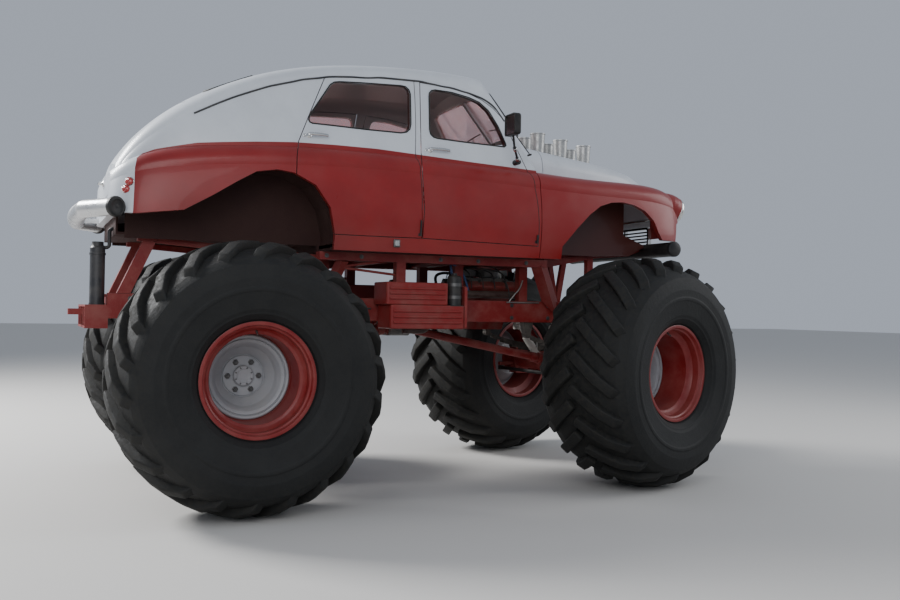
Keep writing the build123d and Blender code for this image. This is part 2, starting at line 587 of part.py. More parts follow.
frontAxle = [rod((front_axle_x, -690, hub_z), (front_axle_x, 690, hub_z), axle_tube),
             Pos(*frontHub) * Rot(0, 90, 0) * turned(pumpkin), rod(frontHub, frontPinion, 44)]
for side in (-1, 1):
    y = side * kingpin_y
    low, high = sorted((side * 680, y + side * 48))
    inner, outer = sorted((side * 670, side * 700))
    flange = box(front_axle_x - 62, front_axle_x + 62, inner, outer, hub_z - 125, hub_z + 125)
    frontAxle.append(fillet(flange.edges().filter_by(Axis.Y), 16))
    for z in (hub_z - 125, hub_z + 93):
        frontAxle.append(box(front_axle_x - 45, front_axle_x + 45, low, high, z, z + 32))
        frontAxle.append(Pos(front_axle_x, y, z + 16) * Cylinder(48, 32))
    frontAxle.append(box(front_axle_x - 45, front_axle_x + 45, side * rail_y - 32, side * rail_y + 32, hub_z, spring_seat))
axle = fuse(frontAxle)
for side in (-1, 1):
    axle -= Pos(front_axle_x, side * kingpin_y, hub_z) * Cylinder(30.3, 400)
save("front_axle", largest(axle))

rearAxle = [rod((rear_axle_x, -spindle_end, hub_z), (rear_axle_x, spindle_end, hub_z), spindle_radius),
            rod((rear_axle_x, -760, hub_z), (rear_axle_x, 760, hub_z), axle_tube),
            Pos(*rearHub) * Rot(0, -90, 0) * turned(pumpkin), rod(rearHub, rearPinion, 48)]
for side in (-1, 1):
    drum = turned(((0, 0), (96, 0), (128, 14), (144, 26), (144, 96), (136, 104), (90, 112), (0, 112)))
    rearAxle.append(Pos(rear_axle_x, side * 758, hub_z) * Rot(-90 * side, 0, 0) * drum)
    rearAxle.append(box(rear_axle_x - 45, rear_axle_x + 45, side * rail_y - 32, side * rail_y + 32, hub_z, spring_seat))
save("rear_axle", largest(fuse(rearAxle)))

shafts = []
for start, end, radius in ((rearPinion, transfer_rear, 40), (frontPinion, transfer_front, 32)):
    length = (Vector(*end) - Vector(*start)).length
    shaft = [rod(start, end, radius)]
    for near, far in ((start, end), (end, start)):
        shaft.append(rod(near, along(near, far, 20), radius + 16))
        shaft.append(rod(along(near, far, 40), along(near, far, 86), radius + 9))
    shaft = fuse(shaft)
    shafts.append(largest(shaft - box(-178, -22, -100, 230, 1000, 1330) if radius == 32 else shaft))
shafts[0] = largest(shafts[0] - box(-180, -22, -100, 230, 1000, 1330))
save("propshafts", shafts)

dampers = []
damper_y = 272
for x in (front_axle_x, rear_axle_x):
    for side in (-1, 1):
        y = side * damper_y
        top, low = (x - 240, y, 1135), (x - 104, y, 936)
        damper = [rod(top, low, 17), rod(along(low, top, 24), along(low, top, 140), 34)]
        for end in (top, low):
            damper.append(rod((end[0], y - 20, end[2]), (end[0], y + 20, end[2]), 26))
        inner, outer = sorted((side * damper_y, side * 300))
        damper.append(rod((top[0], inner, top[2]), (top[0], outer, top[2]), 12))
        inner, outer = sorted((side * 296, side * 345))
        damper.append(box(top[0] - 30, top[0] + 30, inner, outer, 1112, rail_bottom))
        damper.append(beam(low, (x - 20, y, hub_z + 14), 30, 44))
        damper = fuse(damper) - rod((x, -600, hub_z), (x, 600, hub_z), axle_tube + 0.2)
        dampers.append(largest(damper))
save("shock_absorbers", dampers)

print("wheels")


def steered(side):
    return Pos(front_axle_x, side * kingpin_y, 0) * Rot(0, 0, steer_at_rest) * Pos(-front_axle_x, -side * kingpin_y, 0)


for side, name in ((-1, "right"), (1, "left")):
    y = side * kingpin_y
    knuckle = fuse([Pos(front_axle_x, y, hub_z) * Cylinder(58, 170), Pos(front_axle_x, y, hub_z) * Cylinder(30, 250),
                    rod((front_axle_x, y, hub_z), (front_axle_x, side * 868, hub_z), 62),
                    rod((front_axle_x, side * 846, hub_z), (front_axle_x, side * 870, hub_z), 92),
                    rod((front_axle_x, side * 868, hub_z), (front_axle_x, side * spindle_end, hub_z), spindle_radius),
                    box(front_axle_x - steering_arm, front_axle_x, y - 24, y + 24, tie_rod_z - 14, tie_rod_z + 14),
                    Pos(front_axle_x - steering_arm, y, tie_rod_z) * Cylinder(24, 28)])
    knuckle -= Pos(front_axle_x - steering_arm, y, tie_rod_z) * Cylinder(10.5, 60)
    save(f"knuckle_{name}", steered(side) * knuckle)

turn = radians(steer_at_rest)
armX, armY = front_axle_x - steering_arm * cos(turn), -steering_arm * sin(turn)
rodEnds = [(armX, armY - kingpin_y, tie_rod_z - 36), (armX, armY + kingpin_y, tie_rod_z - 36)]
tieRod = [rod(rodEnds[0], rodEnds[1], 15)]
for x, y, z in rodEnds:
    tieRod += [Pos(x, y, z) * Cylinder(22, 36), Pos(x, y, z + 26) * Cylinder(10, 56)]
save("tie_rod", fuse(tieRod))

# Tyre section and rim section as radius and distance outwards from the middle plane
tyre_outline = ((352, -304), (368, -304), (372, -322), (430, -366), (600, -390), (684, -372), (726, -322), (766, -216),
                (788, -80), (788, 80), (766, 216), (726, 322), (684, 372), (600, 390), (430, 366), (372, 322),
                (368, 304), (352, 304))
rim_outline = ((340, 314), (362, 314), (362, 306), (351, 306), (351, 232), (296, 205), (296, -205), (351, -232),
               (351, -306), (362, -306), (362, -314), (335, -314), (335, -240), (282, -215), (282, -14), (255, -14),
               (150, -157), (40.3, -157), (40.3, -133), (137, -133), (255, 3), (282, 3), (282, 205), (322, 236),
               (322, 284), (340, 290))
# Chevron lugs: each is a straight bar that leans back from the middle of the tread to the shoulder.
# Columns of its outline: distance along the bar and height above the hub.
lug_count = 22
lug_sweep = 38
lug_half = 38
lug_top = 837.35
lug_outline = ((5, lug_top), (150, 826.5), (278, 801), (393, 731), (416, 655), (300, 688), (5, 752))
sweepX, sweepY = sin(radians(lug_sweep)), cos(radians(lug_sweep))
lug_phase = degrees(atan2(5 * sweepX + lug_half * sweepY, lug_top))
tyre = Rot(90, 0, 0) * turned(tyre_outline)
lugs = []
for side in (-1, 1):
    bar_x = Vector(-sweepX, side * sweepY, 0)
    lugPlane = Plane(origin=(0, 0, 0), x_dir=bar_x, z_dir=bar_x.cross(Vector(0, 0, 1)))
    lug = extrude(lugPlane * make_face(Polyline(*lug_outline, close=True)), lug_half, both=True)
    for k in range(lug_count):
        lugs.append(Rot(0, 360 / lug_count * (k + (0.5 if side > 0 else 0)) + lug_phase, 0) * lug)
tyre = fuse([tyre] + lugs)
rim = turned(rim_outline)
cap = Pos(0, 0, -121) * Cylinder(65, 24)
nuts = [Rot(0, 0, 60 * k) * Pos(101, 0, -121) * extrude(RegularPolygon(17, 6), 12, both=True) for k in range(6)]
rim = fuse([rim, cap] + nuts)
places = (("front_right", front_axle_x, -1, steered(-1)), ("front_left", front_axle_x, 1, steered(1)),
          ("rear_right", rear_axle_x, -1, Pos(0, 0, 0)), ("rear_left", rear_axle_x, 1, Pos(0, 0, 0)))
for name, x, side, turnedBy in places:
    hub = turnedBy * Pos(x, side * wheel_y, hub_z)
    save(f"tyre_{name}", hub * tyre)
    save(f"rim_{name}", hub * Rot(-90 * side, 0, 0) * rim)

print("body fittings")
# Floor with firewall and dashboard, raised wheel tubs and the sunk boot pan between them
deck = box(-880, 684, -790, 790, sill_z, sill_z + 16) & pontoon(wall + 0.3)
clear = pontoon(wall + 7)
tubOuter = offset(sideOutline(rear_arch, -740), amount=26, kind=Kind.INTERSECTION)
tubInner = offset(sideOutline(rear_arch, -740), amount=14, kind=Kind.INTERSECTION)
tub_y = 450
tub = extrude(tubOuter, 740 - tub_y, dir=(0, 1, 0)) - Pos(0, -12, 0) * extrude(tubInner, 740 - tub_y, dir=(0, 1, 0))
tub &= box(-2150, -840, -760, -tub_y, 1700, 2300)
tub = largest(tub & clear)
firewall = box(668, 684, -740, 740, sill_z, 2290) & clear
dash_outline = ((670, 2130), (670, 2286), (640, 2312), (580, 2310), (546, 2276), (542, 2206), (566, 2166))
dash = extrude(sideOutline(dash_outline, -690), 1380, dir=(0, 1, 0))
floor = fuse([deck, largest(firewall), dash, box(-880, -864, -tub_y - 12, tub_y + 12, sill_z, 1736),
              box(-2204.7, -864, -tub_y - 12, tub_y + 12, 1720, 1736),
              box(-2204.7, -2192, -tub_y - 12, tub_y + 12, 1720, 1900) & clear] + mirrored([tub]))
save("floor_pan", largest(floor))

# Bench seats. Columns: x of the cushion's rear and front.
seat = []
for x0, x1 in ((-230, 260), (-840, -380)):
    cushion = box(x0, x1, -560, 560, sill_z + 60, sill_z + 262)
    cushion = fillet(cushion.edges(), 46)
    back = box(x0 - 20, x0 + 120, -560, 560, sill_z + 225, sill_z + 760)
    back = fillet(back.edges(), 44)
    seat.append(fuse([cushion, back, box(x0 + 40, x1 - 40, -500, 500, sill_z + 16, sill_z + 80)]))
save("seats", seat)

column = rod((700, 330, 2015.5), (330, 330, 2290), 18) - box(667.8, 760, 200, 460, 1900, 2100)
steeringHub = Plane(origin=(330, 330, 2290), z_dir=Vector(-310, 0, 230).normalized())
wheelRing = steeringHub * Torus(190, 13)
spokes = [steeringHub * Rot(0, 0, angle) * Pos(95, 0, -6) * Box(190, 26, 9) for angle in (90, 210, 330)]
boss = steeringHub.location * turned(((0, -30), (30, -30), (44, 0), (40, 10), (24, 17), (0, 19)))
save("steering_wheel", fuse([column, wheelRing, boss] + spokes))

bumper_z = 1866
rearBar = [Line((-2238, -752), (-2390, -512)), ThreePointArc((-2390, -512), (-2415, 0), (-2390, 512)),
           Line((-2390, 512), (-2238, 752))]
path = Pos(0, 0, bumper_z) * Wire(rearBar)
profile = Plane(origin=(-2238, -752, bumper_z), z_dir=(-152, 240, 0)) * Circle(56)
bumper = sweep(profile, path, transition=Transition.ROUND)
brackets = [box(-2395, -2250.2, y - 22, y + 22, bumper_z - 16, bumper_z + 16) for y in (-400, 400)]
save("rear_bumper", fuse([bumper] + brackets))
save("front_bumper", rod((1945, -760, 1775), (1945, 760, 1775), 58))

# Door mirror: shell with a sunk glass, upright arm on a foot, and a thin stay to the door's front edge
mirrorShell = box(345, 400, -1060, -905, 2496, 2646)
mirrorShell = fillet(mirrorShell.edges().filter_by(Axis.X), 22)
mirrorShell = fillet(mirrorShell.faces().sort_by(Axis.X)[-1].edges(), 16)
mirrorShell -= extrude(Plane(origin=(344, -982.5, 2571), x_dir=(0, 1, 0), z_dir=(1, 0, 0)) * RectangleRounded(139, 134, 16), 7)
foot_x, foot_y, foot_z = 486, -838, 2318
mirrorArm = [rod((372, -982, 2520), (404, -946, 2424), 8), rod((404, -946, 2424), (foot_x, -850, 2338), 8),
             Pos(404, -946, 2424) * Sphere(9), rod((foot_x, -858, 2338), (foot_x, -800, 2338), 20),
             rod((380, -990, 2512), (604, -812, 2404), 4), rod((604, -826, 2404), (604, -780, 2404), 7)]
mirrorRight = fuse([mirrorShell] + mirrorArm)
mirrorRight -= pontoon(-0.3) + cabin(-0.3)
mirrorRight = largest(mirrorRight)
save("mirror_right", mirrorRight)
save("mirror_left", mirror(mirrorRight, about=Plane.XZ))
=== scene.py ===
from math import cos, hypot, pi, radians, sin

import bpy
from mathutils import Matrix, Vector


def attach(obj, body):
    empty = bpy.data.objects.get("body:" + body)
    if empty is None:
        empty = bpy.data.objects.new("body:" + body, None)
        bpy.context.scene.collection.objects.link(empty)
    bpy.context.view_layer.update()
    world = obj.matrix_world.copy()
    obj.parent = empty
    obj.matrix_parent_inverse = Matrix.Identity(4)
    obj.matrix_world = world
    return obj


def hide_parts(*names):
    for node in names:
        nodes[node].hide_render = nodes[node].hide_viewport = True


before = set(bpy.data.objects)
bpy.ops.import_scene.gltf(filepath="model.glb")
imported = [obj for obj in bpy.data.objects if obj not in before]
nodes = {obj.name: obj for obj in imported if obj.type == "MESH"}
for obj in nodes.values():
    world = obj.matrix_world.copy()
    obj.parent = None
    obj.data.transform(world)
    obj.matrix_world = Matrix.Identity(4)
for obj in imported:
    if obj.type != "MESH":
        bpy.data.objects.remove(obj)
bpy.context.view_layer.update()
bpy.ops.object.select_all(action="DESELECT")

carX = 0.086  # places are measured from the middle of the wheelbase, like the CAD drawing
frontAxleX, rearAxleX, hubZ = 1.373, -1.472, 0.838
railY = 0.345
sides = ((-1, "right"), (1, "left"))


def at(x, y, z, side=1):
    return Vector((x + carX, side * y, z))


# Camera and studio
camera = {
    "place": (-2.649, -6.841, 1.267),
    "yaw": 24.276,  # degrees from +Y towards +X
    "pitch": 0.613,
    "roll": 0.879,
    "lens": 37.87,
    "sensor": 36.0,
}


def addCamera():
    yaw, pitch, roll = (radians(camera[k]) for k in ("yaw", "pitch", "roll"))
    forward = Vector((sin(yaw) * cos(pitch), cos(yaw) * cos(pitch), sin(pitch)))
    right = Vector((cos(yaw), -sin(yaw), 0.0))
    up = right.cross(forward)
    rolledRight = cos(roll) * right + sin(roll) * up
    rolledUp = -sin(roll) * right + cos(roll) * up
    bpy.ops.object.camera_add()
    cam = bpy.context.object
    cam.name = "photoCamera"
    columns = (rolledRight, rolledUp, -forward, camera["place"])
    cam.matrix_world = Matrix([[c[k] for c in columns] for k in range(3)] + [(0, 0, 0, 1)])
    cam.data.lens = camera["lens"]
    cam.data.sensor_width = camera["sensor"]
    cam.data.clip_end = 200
    bpy.context.scene.camera = cam


studio = {
    "floorColour": (0.58, 0.565, 0.54),
    "skyColour": (0.78, 0.86, 1.0),
    "skyStrength": 0.5,
    "lamps": {
        "keyLight": ((-8.0, 6.0, 7.5), 2300, 3.5),
        "fillLight": ((-4.5, -9.0, 5.0), 330, 6.0),
        "noseLight": ((9.0, -3.0, 5.0), 260, 5.0),
    },
}


def addStudio():
    bpy.ops.mesh.primitive_plane_add(size=120, location=(0, 0, 0))
    floor = bpy.context.object
    floor.name = "studioFloor"
    mat, inputs = newMaterial("paleFloor")
    inputs["Base Color"].default_value = (*studio["floorColour"], 1)
    inputs["Roughness"].default_value = 0.9
    floor.data.materials.append(mat)
    world = bpy.data.worlds.new("studioSky")
    world.use_nodes = True
    world.node_tree.nodes["Background"].inputs["Color"].default_value = (*studio["skyColour"], 1)
    world.node_tree.nodes["Background"].inputs["Strength"].default_value = studio["skyStrength"]
    bpy.context.scene.world = world
    for name, (place, power, size) in studio["lamps"].items():
        bpy.ops.object.light_add(type="AREA", location=place)
        lamp = bpy.context.object
        lamp.name = name
        lamp.data.energy = power
        lamp.data.size = size
        lamp.rotation_euler = (Vector((0, 0, 1.6)) - Vector(place)).to_track_quat("-Z", "Y").to_euler()


# Material helpers: every finish is noise on Object coordinates, with dust where it would settle
def newMaterial(name):
    # a new material and the sockets of its shader
    mat = bpy.data.materials.new(name)
    mat.use_nodes = True
    return mat, mat.node_tree.nodes["Principled BSDF"].inputs


def addNode(mat, kind, sockets=None, **settings):
    node = mat.node_tree.nodes.new("ShaderNode" + kind)
    for key, value in settings.items():
        setattr(node, key, value)
    for key, value in (sockets or {}).items():
        if isinstance(value, bpy.types.NodeSocket):
            mat.node_tree.links.new(value, node.inputs[key])
        else:
            node.inputs[key].default_value = value
    return node


def feed(mat, value, socket):
    mat.node_tree.links.new(value, socket)


def noise(mat, place, scale, detail, roughness=0.5):
    sockets = {"Vector": place, "Scale": scale, "Detail": detail, "Roughness": roughness}
    return addNode(mat, "TexNoise", sockets).outputs[0]


def split(mat, vector):
    return addNode(mat, "SeparateXYZ", {0: vector}).outputs


def vectorMath(mat, operation, a, b=(0.0, 0.0, 0.0)):
    return addNode(mat, "VectorMath", {0: a, 1: b}, operation=operation).outputs


def roughen(mat, inputs, height, distance, strength=1.0):
    sockets = {"Height": height, "Distance": distance, "Strength": strength}
    feed(mat, addNode(mat, "Bump", sockets).outputs[0], inputs["Normal"])


def calculate(mat, operation, a, b=0.0, c=0.0, clamp=False):
    return addNode(mat, "Math", {0: a, 1: b, 2: c}, operation=operation, use_clamp=clamp).outputs[0]


def mixColours(mat, factor, a, b):
    return addNode(mat, "Mix", {0: factor, 6: a, 7: b}, data_type="RGBA").outputs[2]


def between(mat, value, low, high):
    return addNode(mat, "MapRange", {0: value, 1: low, 2: high}).outputs[0]


def objectPlace(mat):
    coords = addNode(mat, "TexCoord")
    return coords.outputs["Object"], coords.outputs["Normal"]


def rgba(colour, gain=1.0):
    return (colour[0] * gain, colour[1] * gain, colour[2] * gain, 1)


roadDust = (0.23, 0.2, 0.165)


def newFinish(name, colour, roughness=0.45, dust=0.25, patch=5.0, grain=160.0, bump=0.0006, metallic=0.0,
        clearCoat=0.0, shadeOf=None, dustColour=roadDust, specular=0.5):
    mat, inputs = newMaterial(name)
    inputs["Metallic"].default_value = metallic
    inputs["Coat Weight"].default_value = clearCoat
    inputs["Specular IOR Level"].default_value = specular
    place, normal = objectPlace(mat)
    cloud = noise(mat, place, patch, 7.0, 0.62)
    fine = noise(mat, place, grain, 3.0)
    height = split(mat, normal)[2]
    if shadeOf:
        base = shadeOf(mat, place, normal)
    else:
        base = mixColours(mat, between(mat, cloud, 0.3, 0.7), rgba(colour, 0.82), rgba(colour, 1.12))
    settled = calculate(mat, "MULTIPLY", between(mat, cloud, 0.42, 0.72), dust)
    onTop = calculate(mat, "MULTIPLY", between(mat, height, 0.25, 1.0), dust * 0.7)
    speckle = calculate(mat, "MULTIPLY", between(mat, fine, 0.55, 0.75), dust * 0.35)
    dusty = calculate(mat, "ADD", calculate(mat, "ADD", settled, onTop), speckle, clamp=True)
    feed(mat, mixColours(mat, dusty, base, rgba(dustColour)), inputs["Base Color"])
    rough = calculate(mat, "MULTIPLY_ADD", between(mat, cloud, 0.3, 0.7), 0.16, roughness - 0.06)
    rough = calculate(mat, "MULTIPLY_ADD", dusty, 0.45, rough, clamp=True)
    feed(mat, rough, inputs["Roughness"])
    roughen(mat, inputs, fine, bump, 1.0)
    return mat


# Body paint: white over red along one line, a pale lining on the faces that look into the cabin, and
# painted shade: a dark red on the faces where the doors shut
bodyPaintAndShade = {
    "red": (0.235, 0.011, 0.011),
    "white": (0.62, 0.65, 0.69),
    "lining": (0.56, 0.545, 0.55),
    # painted shade: a darkened red that stands for the shadow in the door openings
    "jambShade": (0.045, 0.012, 0.011),
    "jambShadeFrom": 0.6,
    "cabinMiddle": (-0.6, 0.0, 2.32),
    "lineBase": 1.8,
    "lineRise": 0.7,
    "line": ((-2.4, 1.8), (-2.124, 1.8), (-2.117, 2.12), (-2.106, 2.186), (-2.068, 2.226), (-1.99, 2.258),
        (-1.899, 2.278), (-1.739, 2.311), (-1.582, 2.325), (-1.373, 2.342), (-1.124, 2.357), (-0.845, 2.36),
        (-0.555, 2.357), (-0.247, 2.341), (0.167, 2.321), (0.629, 2.305), (0.9, 2.3)),
}


def twoToneShade(mat, place, normal):
    spec = bodyPaintAndShade
    parts = split(mat, place)
    first, last = spec["line"][0][0], spec["line"][-1][0]
    alongX = between(mat, parts[0], first + carX, last + carX)
    curve = addNode(mat, "FloatCurve", {1: alongX})
    points = curve.mapping.curves[0].points
    while len(points) < len(spec["line"]):
        points.new(0.5, 0.5)
    for point, (x, z) in zip(points, spec["line"]):
        point.location = ((x - first) / (last - first), (z - spec["lineBase"]) / spec["lineRise"])
        point.handle_type = "VECTOR"
    curve.mapping.update()
    line = calculate(mat, "MULTIPLY_ADD", curve.outputs[0], spec["lineRise"], spec["lineBase"])
    above = between(mat, calculate(mat, "SUBTRACT", parts[2], line), -0.0015, 0.0015)
    cloud = noise(mat, place, 2.5, 8.0, 0.65)
    spread = between(mat, cloud, 0.3, 0.7)
    red = mixColours(mat, spread, rgba(spec["red"], 0.86), rgba(spec["red"], 1.12))
    white = mixColours(mat, spread, rgba(spec["white"], 0.9), rgba(spec["white"], 1.04))
    outside = mixColours(mat, above, red, white)
    away = vectorMath(mat, "SUBTRACT", place, at(*spec["cabinMiddle"]))[0]
    facing = vectorMath(mat, "DOT_PRODUCT", away, normal)["Value"]
    inside = between(mat, facing, 0.02, -0.02)
    # painted shade: inward faces out near the sides, whose normals do not point sideways, get the dark red
    # instead of the lining
    sideways = calculate(mat, "ABSOLUTE", split(mat, normal)[1])
    outward = between(mat, calculate(mat, "ABSOLUTE", parts[1]), spec["jambShadeFrom"], spec["jambShadeFrom"] + 0.02)
    edge = calculate(mat, "MULTIPLY", between(mat, sideways, 0.55, 0.35), outward)
    within = mixColours(mat, edge, rgba(spec["lining"]), rgba(spec["jambShade"]))
    return mixColours(mat, inside, outside, within)


def byPlace(*regions, other):
    # regions: colour, lowest corner, highest corner; the last one that holds a point gives its colour
    def shade(mat, place, normal):
        colour = rgba(other)
        for tint, low, high in regions:
            middle = tuple((a + b) / 2 for a, b in zip(low, high))
            half = tuple((b - a) / 2 for a, b in zip(low, high))
            off = vectorMath(mat, "SUBTRACT", place, at(*middle))[0]
            size = vectorMath(mat, "ABSOLUTE", off)[0]
            over = vectorMath(mat, "SUBTRACT", size, half)[0]
            parts = split(mat, over)
            worst = calculate(mat, "MAXIMUM", calculate(mat, "MAXIMUM", parts[0], parts[1]), parts[2])
            within = calculate(mat, "LESS_THAN", worst, 0.0)
            colour = mixColours(mat, within, colour, rgba(tint))
        return colour
    return shade


def stackTones(mat, place, normal):
    # the walls of the stacks are bright, and what faces upward inside them is a dark mesh
    upward = split(mat, normal)[2]
    height = split(mat, place)[2]
    mesh = addNode(mat, "TexVoronoi", {"Vector": place, "Scale": 170.0}).outputs[0]
    dark = mixColours(mat, between(mat, mesh, 0.25, 0.45), rgba((0.012, 0.012, 0.012)),
        rgba((0.1, 0.1, 0.1)))
    streak = noise(mat, place, 55.0, 4.0)
    bright = mixColours(mat, between(mat, streak, 0.3, 0.7), rgba((0.34, 0.34, 0.33)),
        rgba((0.5, 0.5, 0.49)))
    deep = calculate(mat, "MULTIPLY", between(mat, upward, 0.5, 0.9),
        calculate(mat, "LESS_THAN", height, 2.6))
    return mixColours(mat, deep, bright, dark)


def grilleTones(mat, place, normal):
    # bright in front, and bare dark metal behind
    ahead = split(mat, normal)[0]
    return mixColours(mat, between(mat, ahead, -0.35, 0.0), rgba((0.035, 0.03, 0.028)),
        rgba((0.6, 0.6, 0.59)))


def newGlass(name, colour, alpha, roughness=0.04, through=0.0):
    mat, inputs = newMaterial(name)
    inputs["Alpha"].default_value = alpha
    inputs["IOR"].default_value = 1.45
    inputs["Transmission Weight"].default_value = through
    place, normal = objectPlace(mat)
    cloud = noise(mat, place, 6.0, 6.0)
    tint = mixColours(mat, between(mat, cloud, 0.35, 0.65), rgba(colour, 0.9), rgba(colour, 1.08))
    feed(mat, tint, inputs["Base Color"])
    haze = calculate(mat, "MULTIPLY_ADD", between(mat, cloud, 0.4, 0.8), 0.12, roughness)
    feed(mat, haze, inputs["Roughness"])
    return mat


def tyreRubber():
    spec = {"black": (0.0075, 0.008, 0.0085), "dusty": (0.031, 0.029, 0.024),
        "side": (0.014, 0.0145, 0.0145)}
    mat, inputs = newMaterial("tyreRubber")
    inputs["Specular IOR Level"].default_value = 0.28
    place, normal = objectPlace(mat)
    wear = addNode(mat, "Attribute", attribute_name="treadWear").outputs["Fac"]
    cloud = noise(mat, place, 4.0, 8.0, 0.7)
    scuff = noise(mat, place, 38.0, 5.0, 0.7)
    grit = noise(mat, place, 260.0, 2.0)
    side = mixColours(mat, between(mat, cloud, 0.35, 0.7), rgba(spec["black"]), rgba(spec["side"]))
    amount = calculate(mat, "MULTIPLY", between(mat, scuff, 0.38, 0.68),
        calculate(mat, "MULTIPLY_ADD", wear, 0.75, 0.16))
    feed(mat, mixColours(mat, amount, side, rgba(spec["dusty"])), inputs["Base Color"])
    feed(mat, calculate(mat, "MULTIPLY_ADD", amount, 0.3, 0.62), inputs["Roughness"])
    rough = calculate(mat, "ADD", calculate(mat, "MULTIPLY", scuff, 0.8),
        calculate(mat, "MULTIPLY", grit, 0.25))
    roughen(mat, inputs, rough, 0.004, 0.8)
    return mat


def flutedLens(name, colour, pitch):
    mat = newFinish(name, colour, roughness=0.12, dust=0.12, clearCoat=0.6)
    inputs = mat.node_tree.nodes["Principled BSDF"].inputs
    place, normal = objectPlace(mat)
    wave = addNode(mat, "TexWave", {"Vector": place, "Scale": pitch}, bands_direction="Y").outputs[1]
    roughen(mat, inputs, wave, 0.003, 0.7)
    return mat


redPaint = bodyPaintAndShade["red"]
wingTones = byPlace(
    ((0.075, 0.02, 0.016), (0.6, -0.455, 1.6), (1.95, 0.455, 2.2)),  # aprons beside the engine bay
    other=redPaint)
boxTones = byPlace(
    ((0.016, 0.016, 0.017), (0.058, -0.66, 1.295), (0.166, -0.54, 1.54)),  # canister, right
    ((0.016, 0.016, 0.017), (0.058, 0.54, 1.295), (0.166, 0.66, 1.54)),  # canister, left
    other=(0.23, 0.013, 0.012))
engineTones = byPlace(
    ((0.05, 0.02, 0.017), (-0.3, -0.4, 1.05), (0.84, -0.236, 1.43)),  # exhaust, right
    ((0.05, 0.02, 0.017), (-0.3, 0.236, 1.05), (0.84, 0.4, 1.43)),  # exhaust, left
    ((0.15, 0.145, 0.14), (0.3, -0.2, 1.496), (0.86, 0.2, 1.65)),  # air cleaners
    ((0.028, 0.028, 0.03), (0.829, -0.3, 1.1), (0.95, 0.3, 1.65)),  # pulleys, belt and fan
    ((0.1, 0.095, 0.09), (-0.3, -0.24, 1.0), (0.325, 0.236, 1.5)),  # gearbox and transfer case
    other=(0.21, 0.014, 0.012))

